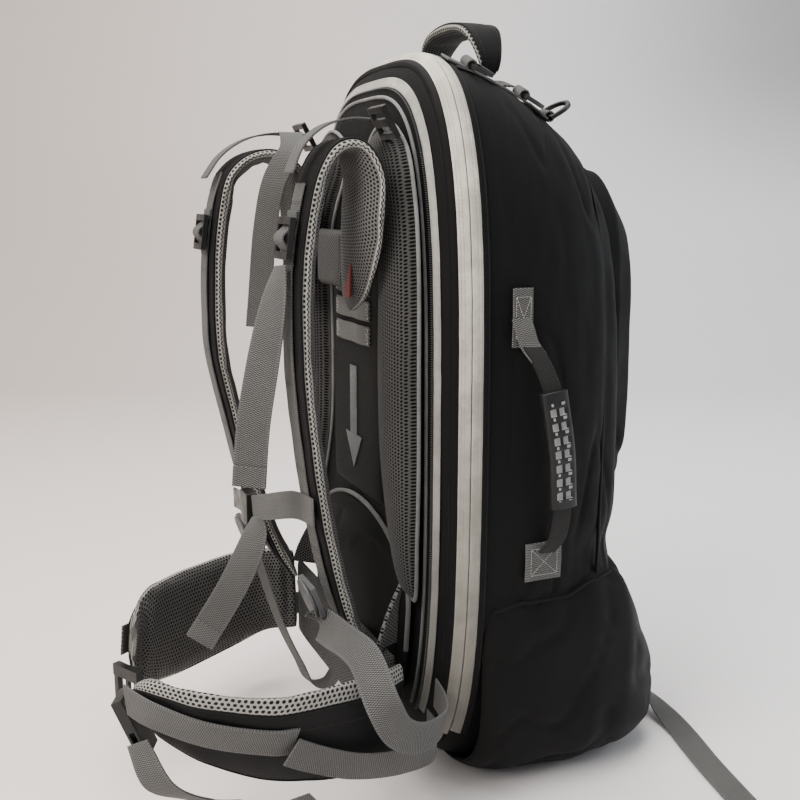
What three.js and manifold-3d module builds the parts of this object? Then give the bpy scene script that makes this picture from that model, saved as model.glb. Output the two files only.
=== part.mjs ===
// A zip-round travel and ski backpack on an adjustable harness, in millimetres, +Z up.
// The origin is the middle of the flat base. The wearer's side faces -Y and +X is the wearer's right.
// The bag is a deep front tub sewn from five panels and a shallow back tub that carries the harness;
// the two part along the main zip, and the back tub swings down on the bottom seam.
import * as THREE from 'three';
import { mergeVertices } from 'three/addons/utils/BufferGeometryUtils.js';
import Module from 'manifold-3d';

const wasm = await Module();
wasm.setup();

// ---- Driving dimensions ----
const GAP = 0.3;            // between pieces that touch
const SHELL_WALL = 4;       // padded fabric of the two tubs
const ZIP_Y = -125;         // plane of the main zip
const OUTLINE_POWER = 3.4;  // how square the bag's outline is
const OUTLINE_POINTS = 36;
const STRAP_X = 105;        // middle of each shoulder strap
const STRAP_THICK = 13;
const LEFT_REACH = 26;      // the left strap stands this much further from the back
const WEBBING = 30;         // width of the wide webbing
const WEB_THICK = 2;
const HANDLE_TOP = 736;     // top of the haul handle
const PAD_FACE_Y = -163.3;  // front of the back tub, where the pads are sewn
const PAD_DEPTH = 22;
const WING_THICK = 17;
const SHEET_Y = -156;       // frame sheet, inside the back tub
const FAR = 300;            // past the bag in any direction but up
const FAR_UP = 900;
const TAPE_WIDTH = 15;      // each half of the main zip
const TAPE_PROUD = 2;
const TAPE_LOWEST = 62;     // the main zip stops short of the bag's base
const COVER_PROUD = 2.5;    // the harness cover's zip stands this proud
const RIGHT = 1;
const LEFT = -1;
const SIDES = [[RIGHT, 'right'], [LEFT, 'left']];

// Sections of the front tub and the back tub: depth y, half width a, lowest lo and highest hi.
const FRONT_TUB = [
  { y: ZIP_Y, a: 170, lo: 14, hi: 700 },
  { y: -95, a: 172, lo: -3, hi: 694 },
  { y: -60, a: 172, lo: -4, hi: 680 },
  { y: -20, a: 171, lo: -7, hi: 660 },
  { y: 15, a: 164, lo: -7, hi: 634 },
  { y: 40, a: 150, lo: -7, hi: 600 },
  { y: 56, a: 130, lo: 2, hi: 560 },
  { y: 62, a: 108, lo: 18, hi: 520 },
];
const BACK_TUB = [
  { y: -163, a: 112, lo: 76, hi: 628 },
  { y: -159, a: 132, lo: 54, hi: 650 },
  { y: -151, a: 149, lo: 36, hi: 670 },
  { y: -140, a: 162, lo: 22, hi: 690 },
  { y: ZIP_Y - GAP, a: 170, lo: 14, hi: 700 },
];

const finishes = {
  shell: { color: 0x17181a, roughness: 0.85, metalness: 0 },
  lining: { color: 0x2a2b2d, roughness: 0.9, metalness: 0 },
  mesh: { color: 0x55554f, roughness: 0.95, metalness: 0 },
  webbing: { color: 0x6f6e6a, roughness: 0.8, metalness: 0 },
  zipTape: { color: 0xb9b6aa, roughness: 0.8, metalness: 0 },
  plastic: { color: 0x2b2c2e, roughness: 0.45, metalness: 0 },
  rubber: { color: 0x1a1a1b, roughness: 0.6, metalness: 0 },
  board: { color: 0x3a3a3c, roughness: 0.5, metalness: 0 },
  alloy: { color: 0xb4b6b8, roughness: 0.35, metalness: 1 },
};

const pack = new THREE.Group();
const vector = (p) => new THREE.Vector3(...p);

function addPart(name, geometry, finish, parent = pack) {
  const mesh = new THREE.Mesh(geometry, new THREE.MeshStandardMaterial(finishes[finish]));
  mesh.name = name;
  parent.add(mesh);
  return mesh;
}

// ---- Solids ----
function closedGeometry(points, triangles) {
  let volume = 0;
  for (let i = 0; i < triangles.length; i += 3) {
    const [a, b, c] = [0, 1, 2].map((k) => points[triangles[i + k]]);
    volume += a.dot(b.clone().cross(c));
  }
  const faces = volume < 0 ? triangles.slice().reverse() : triangles;
  const geometry = new THREE.BufferGeometry();
  const flat = points.flatMap((p) => p.toArray());
  geometry.setAttribute('position', new THREE.Float32BufferAttribute(flat, 3));
  geometry.setIndex(faces);
  return geometry;
}

// A closed solid through rings that all have the same number of points.
function loft(rings) {
  const count = rings[0].length;
  const triangles = [];
  for (let r = 0; r + 1 < rings.length; r++) {
    for (let i = 0; i < count; i++) {
      const j = (i + 1) % count;
      const [here, next] = [r * count, (r + 1) * count];
      triangles.push(here + i, here + j, next + j, here + i, next + j, next + i);
    }
  }
  const last = (rings.length - 1) * count;
  for (let i = 1; i + 1 < count; i++) {
    triangles.push(0, i + 1, i);
    triangles.push(last, last + i, last + i + 1);
  }
  return closedGeometry(rings.flat(), triangles);
}

function toSolid(geometry) {
  const plain = geometry.clone();
  plain.deleteAttribute('normal');
  plain.deleteAttribute('uv');
  const merged = mergeVertices(plain, 1e-4);
  return new wasm.Manifold(new wasm.Mesh({
    numProp: 3,
    vertProperties: new Float32Array(merged.attributes.position.array),
    triVerts: new Uint32Array(merged.index.array),
  }));
}

function toGeometry(solid) {
  const mesh = solid.getMesh();
  const geometry = new THREE.BufferGeometry();
  geometry.setAttribute('position', new THREE.BufferAttribute(new Float32Array(mesh.vertProperties), 3));
  geometry.setIndex(new THREE.BufferAttribute(new Uint32Array(mesh.triVerts), 1));
  return geometry;
}

// A box between two corners.
function block(low, high) {
  const size = high.map((v, k) => v - low[k]);
  const middle = high.map((v, k) => (v + low[k]) / 2);
  return new THREE.BoxGeometry(...size).translate(...middle);
}

const cut = (a, b) => toSolid(a).subtract(toSolid(b));
const join = (a, b) => toGeometry(toSolid(a).add(toSolid(b)));

// ---- The bag's outline ----
function ringAt(section, grow = 0) {
  const half = section.a + grow;
  const low = section.lo - grow;
  const high = section.hi + grow;
  const middle = (low + high) / 2;
  const rise = (high - low) / 2;
  const ring = [];
  for (let i = 0; i < OUTLINE_POINTS; i++) {
    const angle = (2 * Math.PI * i) / OUTLINE_POINTS;
    const [c, s] = [Math.cos(angle), Math.sin(angle)];
    const reach = (v) => Math.sign(v) * Math.abs(v) ** (2 / OUTLINE_POWER);
    ring.push(new THREE.Vector3(half * reach(c), section.y, Math.max(0, middle + rise * reach(s))));
  }
  return ring;
}

function sectionAt(table, y) {
  const next = Math.max(1, table.findIndex((s) => s.y >= y));
  const [p, q] = [table[next - 1], table[next]];
  const t = (y - p.y) / (q.y - p.y);
  const mix = (k) => p[k] + (q[k] - p[k]) * t;
  return { y, a: mix('a'), lo: mix('lo'), hi: mix('hi') };
}

// Height of the front tub's top at a point in plan.
function topHeight(x, y) {
  const s = sectionAt(FRONT_TUB, y);
  const middle = (s.lo + s.hi) / 2;
  return middle + ((s.hi - s.lo) / 2) * (1 - (Math.abs(x) / s.a) ** OUTLINE_POWER) ** (1 / OUTLINE_POWER);
}

// A tub's outside, grown away from its mouth and outwards.
function outerTub(table, grow = 0) {
  return loft(table.map((s) => {
    const fromMouth = s.y - ZIP_Y;
    const shift = Math.abs(fromMouth) > 1 ? Math.sign(fromMouth) * grow : 0;
    return ringAt({ ...s, y: s.y + shift }, grow);
  }));
}

// A tub with its mouth at the zip plane.
function hollowTub(table, mouthFirst) {
  const sections = mouthFirst ? table : table.slice().reverse();
  const outward = Math.sign(sections.at(-1).y - sections[0].y);
  const deepest = sections.at(-1).y - outward * SHELL_WALL;
  const inner = sections.filter((s) => Math.abs(s.y - sections[0].y) < Math.abs(deepest - sections[0].y));
  const mouth = { ...sections[0], y: sections[0].y - outward };
  const stations = [mouth, ...inner.slice(1), sectionAt(table, deepest)];
  const hollow = loft(stations.map((s) => ringAt({ ...s, lo: Math.max(s.lo, 0) }, -SHELL_WALL)));
  return cut(outerTub(table), hollow);
}

// A band round the outline between two depths, standing proud of the tub.
function outlineBand(table, y0, y1, proud, lowest) {
  const inside = table.filter((s) => s.y > y0 && s.y < y1);
  const stations = [sectionAt(table, y0), ...inside, sectionAt(table, y1)];
  const band = cut(loft(stations.map((s) => ringAt(s, proud))), outerTub(table, GAP));
  return toGeometry(band.subtract(toSolid(block([-FAR, y0 - 50, -50], [FAR, y1 + 50, lowest]))));
}

// ---- Webbing and padded bands ----
// A band along a smooth curve. Each stop is { at, across, width }: the point, the direction across the band
// and its width.
function band(stops, thickness, steps) {
  const curve = new THREE.CatmullRomCurve3(stops.map((s) => vector(s.at)), false, 'centripetal');
  const across = new THREE.CatmullRomCurve3(stops.map((s) => vector(s.across)), false, 'centripetal');
  const rings = [];
  for (let i = 0; i <= steps; i++) {
    const t = i / steps;
    const k = Math.min(stops.length - 2, Math.floor(t * (stops.length - 1)));
    const f = t * (stops.length - 1) - k;
    const half = (stops[k].width + (stops[k + 1].width - stops[k].width) * f) / 2;
    const middle = curve.getPoint(t);
    const side = across.getPoint(t).normalize();
    const normal = curve.getTangent(t).cross(side).normalize().multiplyScalar(thickness / 2);
    side.multiplyScalar(half);
    rings.push([
      middle.clone().add(side).add(normal),
      middle.clone().sub(side).add(normal),
      middle.clone().sub(side).sub(normal),
      middle.clone().add(side).sub(normal),
    ]);
  }
  return loft(rings);
}

const stops = (points, across, width) => points.map((at) => ({ at, across, width }));

// A flat plate from an outline in the XZ plane, from depth y0 towards -Y.
function plateXZ(outline, depth, y0) {
  const shape = new THREE.Shape(outline.map((p) => new THREE.Vector2(...p)));
  const geometry = new THREE.ExtrudeGeometry(shape, { depth, bevelEnabled: false });
  return geometry.rotateX(Math.PI / 2).translate(0, y0, 0);
}

const rectangle = (w, h, x = 0, z = 0) => [
  [x - w / 2, z - h / 2], [x + w / 2, z - h / 2], [x + w / 2, z + h / 2], [x - w / 2, z + h / 2],
];

// A ladder-lock: a frame with a centre bar between two slots, lying in its own XY plane.
function ladderLock(width, length, thickness) {
  const shape = new THREE.Shape(rectangle(width, length).map((p) => new THREE.Vector2(...p)));
  const slot = length * 0.2;
  for (const z of [-length * 0.22, length * 0.22]) {
    const corners = rectangle(width - 8, slot, 0, z).map((p) => new THREE.Vector2(...p));
    shape.holes.push(new THREE.Path(corners));
  }
  const geometry = new THREE.ExtrudeGeometry(shape, { depth: thickness, bevelEnabled: false });
  return geometry.translate(0, 0, -thickness / 2);
}

// ---- Front tub: five sewn panels ----
function addFrontTub() {
  const tub = hollowTub(FRONT_TUB, true);
  const frontCut = 20;
  const topCut = 600;
  const bottomCut = 60;
  const keep = (low, high) => toGeometry(tub.intersect(toSolid(block(low, high))));
  addPart('front_panel', keep([-FAR, frontCut + GAP, -FAR], [FAR, FAR, FAR_UP]), 'shell');
  addPart('top_panel', keep([-FAR, -FAR, topCut + GAP], [FAR, frontCut, FAR_UP]), 'shell');
  addPart('bottom_panel', keep([-FAR, -FAR, -FAR], [FAR, frontCut, bottomCut - GAP]), 'shell');
  addPart('side_panel_right', keep([0, -FAR, bottomCut], [FAR, frontCut, topCut]), 'shell');
  addPart('side_panel_left', keep([-FAR, -FAR, bottomCut], [0, frontCut, topCut]), 'shell');
  const tape = outlineBand(FRONT_TUB, ZIP_Y + GAP, ZIP_Y + TAPE_WIDTH, TAPE_PROUD, TAPE_LOWEST);
  addPart('main_zip_tape_front', tape, 'zipTape');
}

function addPockets() {
  const wall = toSolid(outerTub(FRONT_TUB, GAP));
  const upper = loft([
    { y: 24, a: 130, lo: 236, hi: 612 },
    { y: 56, a: 129, lo: 240, hi: 602 },
    { y: 78, a: 116, lo: 256, hi: 572 },
    { y: 91, a: 92, lo: 286, hi: 532 },
  ].map((s) => ringAt(s)));
  const lower = loft([
    { y: -70, a: 176, lo: -14, hi: 214 },
    { y: 10, a: 178, lo: -14, hi: 222 },
    { y: 58, a: 170, lo: -10, hi: 214 },
    { y: 90, a: 152, lo: -6, hi: 168 },
    { y: 114, a: 132, lo: 0, hi: 120 },
    { y: 128, a: 104, lo: 10, hi: 84 },
  ].map((s) => ringAt(s)));
  addPart('front_pocket', toGeometry(toSolid(upper).subtract(wall)), 'shell');
  addPart('bottom_pocket', toGeometry(toSolid(lower).subtract(wall)), 'shell');
}

// ---- Back tub, frame and pads ----
function addBackTub() {
  addPart('back_shell', toGeometry(hollowTub(BACK_TUB, false)), 'shell');
  const tape = outlineBand(BACK_TUB, ZIP_Y - TAPE_WIDTH, ZIP_Y - GAP - 0.01, TAPE_PROUD, TAPE_LOWEST);
  addPart('main_zip_tape_back', tape, 'zipTape');
  addPart('cover_zip_tape', outlineBand(BACK_TUB, -156, -146, COVER_PROUD, 84), 'zipTape');
  addPart('frame_sheet', plateXZ(rectangle(200, 500, 0, 350), 2, SHEET_Y), 'board');
  for (const [side, word] of SIDES) {
    const low = [side * 60 - 8, SHEET_Y + GAP, 110];
    const high = [side * 60 + 8, SHEET_Y + GAP + 3, 590];
    addPart('frame_stay_' + word, block(low, high), 'alloy');
  }
}

function addPads() {
  const padFront = PAD_FACE_Y;
  for (const [side, word] of SIDES) {
    const outline = [[84, 262], [128, 292], [138, 400], [136, 520], [118, 588], [60, 600], [30, 596],
      [34, 560], [60, 552], [78, 530], [78, 340]].map(([x, z]) => [x * side, z]);
    addPart('back_pad_' + word, plateXZ(outline, PAD_DEPTH, padFront), 'mesh');
  }
  const lumbar = [[-112, 96], [112, 96], [124, 150], [126, 214], [84, 246], [40, 262], [0, 266],
    [-40, 262], [-84, 246], [-126, 214], [-124, 150]];
  addPart('lumbar_pad', plateXZ(lumbar, PAD_DEPTH + 2, padFront), 'lining');
  addPart('adjuster_panel', plateXZ(rectangle(144, 256, 0, 400), 6, padFront), 'lining');
  const lumbarFront = padFront - PAD_DEPTH - 2;
  addPart('hip_belt_core', plateXZ(rectangle(292, 92, 0, 112), 7, lumbarFront - GAP), 'mesh');
}

// ---- Harness ----
// Centre line of a shoulder strap: from its root on the back, over the top, down to its lower end (y, z).
const STRAP_LINE = [
  [-197, 472], [-197, 505], [-197, 550], [-200, 592], [-212, 611], [-229, 609], [-243, 590], [-252, 560],
  [-258, 525], [-261, 480], [-260, 412], [-254, 350], [-243, 275], [-226, 205], [-207, 155],
];
const ROOT_INSET = [50, 26, 8, 0];
const STRAP_WIDTHS = [24, 70, 92, 84, 64, 62, 62, 62, 62, 62, 62, 60, 58, 50, 40];
function strapPoints(side) {
  const reach = side === LEFT ? LEFT_REACH : 0;
  return STRAP_LINE.map(([y, z], i) => {
    const rise = Math.max(0, Math.min(1, (i - 3) / 3));
    const fall = Math.min(1, (STRAP_LINE.length - 1 - i) / 4);
    return [side * (STRAP_X - (ROOT_INSET[i] ?? 0)), y - reach * rise * fall, z];
  });
}

function addHarness() {
  for (const [side, word] of SIDES) {
    const line = strapPoints(side);
    const path = line.map((at, i) => ({ at, across: [1, 0, 0], width: STRAP_WIDTHS[i] }));
    addPart('shoulder_strap_' + word, band(path, STRAP_THICK, 34), 'mesh');
    const chest = line[8];
    const lock = addPart('strap_ladder_lock_' + word, ladderLock(38, 36, 5), 'plastic');
    lock.rotation.x = Math.PI / 2 - 0.14;
    lock.position.set(chest[0], chest[1] - STRAP_THICK / 2 - 6.4, chest[2] + 10);
    const end = line[13];
    const endLock = addPart('end_ladder_lock_' + word, ladderLock(38, 32, 5), 'plastic');
    endLock.rotation.x = Math.PI / 2 + 0.35;
    endLock.position.set(end[0], end[1] - 26, end[2] + 6);
  }
  addPart('yoke', block([-40, -197, 484], [40, -191, 540]), 'mesh');
}

function addHarnessWebbing() {
  const lifter = [[105, -258, 585], [105, -250, 607], [106, -234, 623], [108, -214, 630], [110, -197, 630]];
  const farTail = [
    { at: [-110, -200, 634.4], across: [0.8, 0.5, 0], width: WEBBING - 6 },
    { at: [-88, -204, 634], across: [0.4, 0.9, 0], width: WEBBING - 6 },
    { at: [-64, -212, 618], across: [0.3, 0.9, 0.2], width: WEBBING - 6 },
    { at: [-58, -232, 585], across: [0.3, 0.9, 0.2], width: WEBBING - 6 },
    { at: [-58, -242, 540], across: [0.3, 0.9, 0], width: WEBBING - 6 },
    { at: [-60, -248, 480], across: [0.3, 0.9, 0], width: WEBBING - 6 },
    { at: [-60, -252, 440], across: [0.3, 0.9, 0], width: WEBBING - 6 },
  ];
  for (const [side, word] of SIDES) {
    const reach = side === LEFT ? LEFT_REACH : 0;
    const path = lifter.map(([x, y, z], i) => {
      const free = 1 - i / (lifter.length - 1);
      return { at: [x * side, y - (reach + 8) * free, z + 4], across: [1, 0, 0], width: WEBBING - 4 };
    });
    const lifterBand = band(path, WEB_THICK, 10);
    const whole = side === LEFT ? join(lifterBand, band(farTail, WEB_THICK, 10)) : lifterBand;
    addPart('load_lifter_' + word, whole, 'webbing');
    const lock = addPart('lifter_ladder_lock_' + word, ladderLock(34, 30, 5), 'plastic');
    lock.rotation.x = Math.PI / 2 + 0.5;
    lock.position.set(110 * side, -182, 632);
  }
  const tail = [
    { at: [105, -275, 512], across: [1, 0, 0], width: WEBBING },
    { at: [108, -283, 480], across: [0.85, 0.5, 0], width: WEBBING },
    { at: [110, -294, 430], across: [0.6, 0.8, 0], width: WEBBING },
    { at: [110, -304, 375], across: [0.5, 0.86, 0], width: WEBBING },
    { at: [110, -309, 322], across: [0.5, 0.86, 0], width: WEBBING },
  ];
  addPart('strap_tail_right', band(tail, WEB_THICK, 10), 'webbing');
}

function addSternumStrap() {
  const strap = stops([[134, -259, 299], [104, -259, 296], [84, -261, 293], [62, -264, 287], [30, -268, 277],
    [0, -270, 268], [-30, -270, 259]], [0, 0, 1], WEBBING - 4);
  const tail = [
    { at: [-8, -270.5, 257], across: [1, 0, 0], width: WEBBING },
    { at: [-2, -276, 240], across: [0.8, 0.6, 0], width: WEBBING },
    { at: [2, -298, 196], across: [0.45, 0.85, -0.3], width: WEBBING },
    { at: [5, -337, 139], across: [0.42, 0.8, -0.4], width: WEBBING },
  ];
  addPart('sternum_webbing', join(band(strap, WEB_THICK, 12), band(tail, WEB_THICK, 10)), 'webbing');
  const socket = cut(block([-13, -6, -17], [13, 6, 17]), block([-14, -3.5, -13], [9, 3.5, 13]));
  const socketPart = addPart('sternum_buckle_socket', toGeometry(socket), 'plastic');
  socketPart.position.set(-46, -270, 256);
  const anchorLine = [[-70.5, -270, 256], [-84, -268, 252], [-104, -266, 247], [-130, -265, 243]];
  const anchor = stops(anchorLine, [0, 0, 1], WEBBING - 8);
  const plug = toSolid(block([-72, -273, 244], [-59, -267, 268]))
    .add(toSolid(block([-60, -272.5, 244], [-40, -267.5, 248])))
    .add(toSolid(block([-60, -272.5, 264], [-40, -267.5, 268])))
    .add(toSolid(block([-60, -271.5, 254], [-44, -268.5, 258])))
    .add(toSolid(band(anchor, WEB_THICK, 6)));
  addPart('sternum_buckle_plug', toGeometry(plug), 'plastic');
}

// Webbing from the lower corners of the bag up to the lock at each strap's end.
function addLowerWebbing() {
  const right = [
    { at: [112, -250, 190], across: [1, 0.1, 0], width: WEBBING },
    { at: [146, -243, 188], across: [0.7, 0.6, 0.3], width: WEBBING },
    { at: [190, -234, 184], across: [0.3, 0.85, 0.35], width: WEBBING },
    { at: [222, -229, 154], across: [0.1, 0.8, 0.6], width: WEBBING },
    { at: [220, -214, 126], across: [0, 0.6, 0.75], width: WEBBING },
    { at: [210, -188, 110], across: [0, 0.3, 0.95], width: WEBBING },
    { at: [194, -160, 110], across: [0.2, 0.1, 1], width: WEBBING },
    { at: [170, -150, 113], across: [0.3, 0, 1], width: WEBBING },
    { at: [148, -147, 115], across: [0.35, 0, 0.94], width: WEBBING },
  ];
  addPart('lower_webbing_right', band(right, WEB_THICK, 20), 'webbing');
  const left = stops([[-105, -250, 188], [-99, -246, 170], [-93, -237, 135], [-92, -222, 90], [-95, -205, 52],
    [-96, -190, 22], [-93, -172, 20], [-90, -157, 43]], [1, 0.2, 0], WEBBING - 6);
  addPart('lower_webbing_left', band(left, WEB_THICK, 20), 'webbing');
}

// ---- Hip belt ----
const WINGS = {
  right: {
    line: [[156, -188], [176, -224], [192, -272], [196, -320], [180, -366], [150, -398], [118, -414]],
    lean: [0, 0.1, 0.3, 0.42, 0.42, 0.36, 0.3],
    middle: [110, 115, 125, 133, 143, 150, 152],
    height: [88, 92, 102, 100, 84, 60, 36],
    sewn: 3,
  },
  left: {
    line: [[-156, -188], [-170, -222], [-160, -262], [-136, -304], [-106, -344], [-76, -374], [-48, -394]],
    lean: [0, 0, 0.05, 0.08, 0.08, 0.05, 0],
    middle: [114, 113, 112, 112, 115, 121, 128],
    height: [96, 104, 116, 118, 116, 104, 76],
    sewn: 3,
  },
};

function wingStops(wing, side, proud, width) {
  return wing.line.map(([x, y], i) => {
    const before = wing.line[Math.max(0, i - 1)];
    const after = wing.line[Math.min(wing.line.length - 1, i + 1)];
    const along = new THREE.Vector2(after[0] - before[0], after[1] - before[1]).normalize();
    const outward = [-along.y * side, along.x * side];
    return {
      at: [x + outward[0] * proud, y + outward[1] * proud, wing.middle[i]],
      across: [wing.lean[i] * side, 0, 1],
      width: width ?? wing.height[i],
    };
  });
}

// The belt's webbing runs from each wing's tip to the point where it is sewn down, and from there to the bag.
const STABILISERS = {
  right: [[212, -306, 124], [207, -284, 110], [202, -246, 92], [198, -205, 84], [184, -166, 80],
    [160, -152, 80], [133, -148, 78]],
  left: [[-150, -306, 108], [-176, -264, 100], [-186, -222, 92], [-180, -180, 86], [-160, -156, 80],
    [-133, -148, 78]],
};
function addHipBelt() {
  for (const [side, word] of SIDES) {
    addPart('hip_wing_' + word, band(wingStops(WINGS[word], side, 0), WING_THICK, 18), 'mesh');
    const web = wingStops(WINGS[word], side, WING_THICK / 2 + 5, WEBBING).slice(WINGS[word].sewn);
    addPart('hip_webbing_' + word, band(web, WEB_THICK, 10), 'webbing');
    const strap = stops(STABILISERS[word], [side * 0.15, 0, 1], WEBBING - 4);
    addPart('hip_stabiliser_' + word, band(strap, WEB_THICK, 14), 'webbing');
  }
  const socket = toSolid(block([-15, -5, -29], [15, 5, 29]))
    .subtract(toSolid(block([-12, -3, -30], [12, 3, 4])))
    .subtract(toSolid(block([-16, -2.4, -16], [16, 2.4, -2])))
    .subtract(toSolid(block([-11, -6, 11], [11, 6, 15])))
    .subtract(toSolid(block([-11, -6, 20], [11, 6, 24])));
  const socketPart = addPart('hip_buckle_socket', toGeometry(socket), 'plastic');
  socketPart.position.set(100, -415, 117);
  socketPart.rotation.set(0.4, 0, -0.4, 'ZXY');
  const plug = toSolid(block([-19, -4, -12], [19, 4, 0]))
    .add(toSolid(block([-19, -3, -1], [-13, 3, 26])))
    .add(toSolid(block([13, -3, -1], [19, 3, 26])))
    .add(toSolid(block([-2, -2, -1], [2, 2, 18])));
  const plugPart = addPart('hip_buckle_plug', toGeometry(plug), 'plastic');
  plugPart.position.set(-34, -402, 96);
  plugPart.rotation.set(Math.PI, 0, 0.5, 'ZXY');
  const tail = [
    { at: [148, -420, 124], across: [0.8, 0.5, 0.3], width: WEBBING },
    { at: [162, -406, 90], across: [0.6, 0.7, 0.2], width: WEBBING },
    { at: [148, -370, 60], across: [0.5, 0.85, 0], width: WEBBING },
    { at: [136, -344, 44], across: [0.45, 0.9, 0], width: WEBBING },
    { at: [128, -328, 22], across: [0.45, 0.9, 0], width: WEBBING },
    { at: [118, -306, 5], across: [0.8, 0.6, 0], width: WEBBING },
    { at: [108, -280, 2], across: [0.95, 0.3, 0], width: WEBBING },
    { at: [102, -250, 2], across: [0.95, 0.2, 0], width: WEBBING },
  ];
  addPart('hip_webbing_tail', band(tail, WEB_THICK, 16), 'webbing');
}

// ---- Handles, rings and zip sliders ----
function addHaulHandle() {
  const [foot, y, thick] = [61, -56, 11];
  const base = topHeight(foot, y) + 6;
  const top = HANDLE_TOP - thick / 2;
  const shape = [[foot, base, 14], [foot + 2, base + 14, 22], [foot - 14, top - 9, 38], [0, top, 40]];
  const half = shape.map(([x, z, width]) => ({ at: [x, y, z], across: [0, 1, 0], width }));
  const mirrored = half.map((stop) => ({ ...stop, at: [-stop.at[0], stop.at[1], stop.at[2]] }));
  const line = [...mirrored, ...half.slice(0, -1).reverse()];
  addPart('haul_handle', band(line, thick, 18), 'mesh');
}

const SIDE_HANDLE_LINE = [[178, -78, 448], [190, -71, 434], [202, -62, 404], [206, -55, 352],
  [204, -50, 300], [194, -48, 268], [180, -50, 250]];
function addSideHandle() {
  addPart('side_handle_strap', band(stops(SIDE_HANDLE_LINE, [0, 1, 0], 18), 3, 16), 'webbing');
  const grip = SIDE_HANDLE_LINE.slice(2, 5).map(([x, y, z]) => [x + 1, y, z]);
  const sleeve = toSolid(band(stops(grip, [0, 1, 0], 26), 11, 10));
  const bore = toSolid(band(stops(SIDE_HANDLE_LINE, [0, 1, 0], 20), 5, 16));
  addPart('side_handle_grip', toGeometry(sleeve.subtract(bore)), 'rubber');
  addPart('side_handle_anchor_top', block([173.6, -88, 440], [176, -68, 492]), 'webbing');
  addPart('side_handle_anchor_bottom', block([173.8, -70, 223], [176, -32, 256]), 'webbing');
}

// Lash rings: the strip of webbing on the bag's top is sewn into a loop at each ring.
const LOOP_BORE = 3.6;
const LOOP_SKIN = 1.8;
const RING_BAR = 4;
const RINGS = [
  { word: 'rear', at: [86, -92], tilt: 0 },
  { word: 'middle', at: [86, -38], tilt: 0 },
  { word: 'front', at: [70, -2], tilt: 1.2 },
];

// A frame on the bag's top at a point in plan: X across, Y down the slope, Z away from the fabric.
function topFrame(x, y) {
  const step = 4;
  const slope = (topHeight(x, y + step) - topHeight(x, y - step)) / (2 * step);
  const fall = (topHeight(x + step, y) - topHeight(x - step, y)) / (2 * step);
  const along = new THREE.Vector3(0, 1, slope).normalize();
  const away = new THREE.Vector3(1, 0, fall).cross(along).normalize();
  const across = along.clone().cross(away);
  const frame = new THREE.Matrix4().makeBasis(across, along, away);
  return frame.setPosition(new THREE.Vector3(x, y, topHeight(x, y)).addScaledVector(away, 0.8));
}

function ringOutline(inset) {
  const half = 18 - inset;
  const corner = 9;
  const outline = new THREE.Shape();
  outline.moveTo(-half, -RING_BAR / 2 + inset);
  outline.lineTo(half, -RING_BAR / 2 + inset);
  outline.lineTo(half, corner);
  outline.absellipse(0, corner, half, 17 - inset, 0, Math.PI);
  outline.lineTo(-half, -RING_BAR / 2 + inset);
  return outline;
}

function addLashRings() {
  const lift = LOOP_BORE + LOOP_SKIN;
  const strip = [-105, -90, -72, -54, -38, -24, -10].map((y) => {
    const frame = topFrame(86, y);
    return {
      at: new THREE.Vector3(0, 0, WEB_THICK / 2).applyMatrix4(frame).toArray(),
      across: new THREE.Vector3().setFromMatrixColumn(frame, 0).toArray(),
      width: 22,
    };
  });
  let webbing = toSolid(band(strip, WEB_THICK, 12));
  for (const { word, at, tilt } of RINGS) {
    const frame = topFrame(...at);
    const eye = new THREE.Shape().absarc(0, 0, lift, 0, 2 * Math.PI);
    eye.holes.push(new THREE.Path().absarc(0, 0, LOOP_BORE, 0, 2 * Math.PI, true));
    const sleeve = new THREE.ExtrudeGeometry(eye, { depth: 20, bevelEnabled: false, curveSegments: 6 });
    sleeve.rotateY(Math.PI / 2).translate(-10, 0, lift);
    const base = block([-10, -26, 0], [10, 0, LOOP_SKIN - 0.4]);
    webbing = webbing.add(toSolid(sleeve.applyMatrix4(frame))).add(toSolid(base.applyMatrix4(frame)));
    const outline = ringOutline(0);
    outline.holes.push(new THREE.Path(ringOutline(RING_BAR).getPoints(5)));
    const solid = { depth: RING_BAR, bevelEnabled: false, curveSegments: 5 };
    const ring = new THREE.ExtrudeGeometry(outline, solid);
    ring.translate(0, 0, -RING_BAR / 2);
    const part = addPart('lash_ring_' + word, ring, 'plastic');
    const turn = new THREE.Matrix4().makeRotationX(tilt);
    part.applyMatrix4(frame.clone().multiply(new THREE.Matrix4().makeTranslation(0, 0, lift)).multiply(turn));
  }
  addPart('lash_webbing', toGeometry(webbing), 'webbing');
}

// Each puller hangs just clear of its slider, so that it swings out without touching it.
function addZipSliders() {
  const tapeX = -(170 + TAPE_PROUD + 2 * GAP);
  const sliderX = tapeX - 7;
  for (const [word, z] of [['upper', 430], ['lower', 392]]) {
    const slider = block([sliderX, ZIP_Y - 5, z], [tapeX, ZIP_Y + 5, z + 13]);
    addPart('main_zip_slider_' + word, slider, 'plastic');
    const puller = block([sliderX - 3, ZIP_Y - 4, z - 17], [sliderX - 0.7, ZIP_Y + 4, z + 9]);
    addPart('main_zip_puller_' + word, puller, 'webbing');
  }
  const coverX = -(sectionAt(BACK_TUB, -146).a + COVER_PROUD + GAP);
  const puller = block([coverX - 8, -154, 302], [coverX - 6, -148, 338]);
  addPart('cover_zip_slider', join(block([coverX - 6.5, -156, 330], [coverX, -146, 342]), puller), 'plastic');
}

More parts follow.
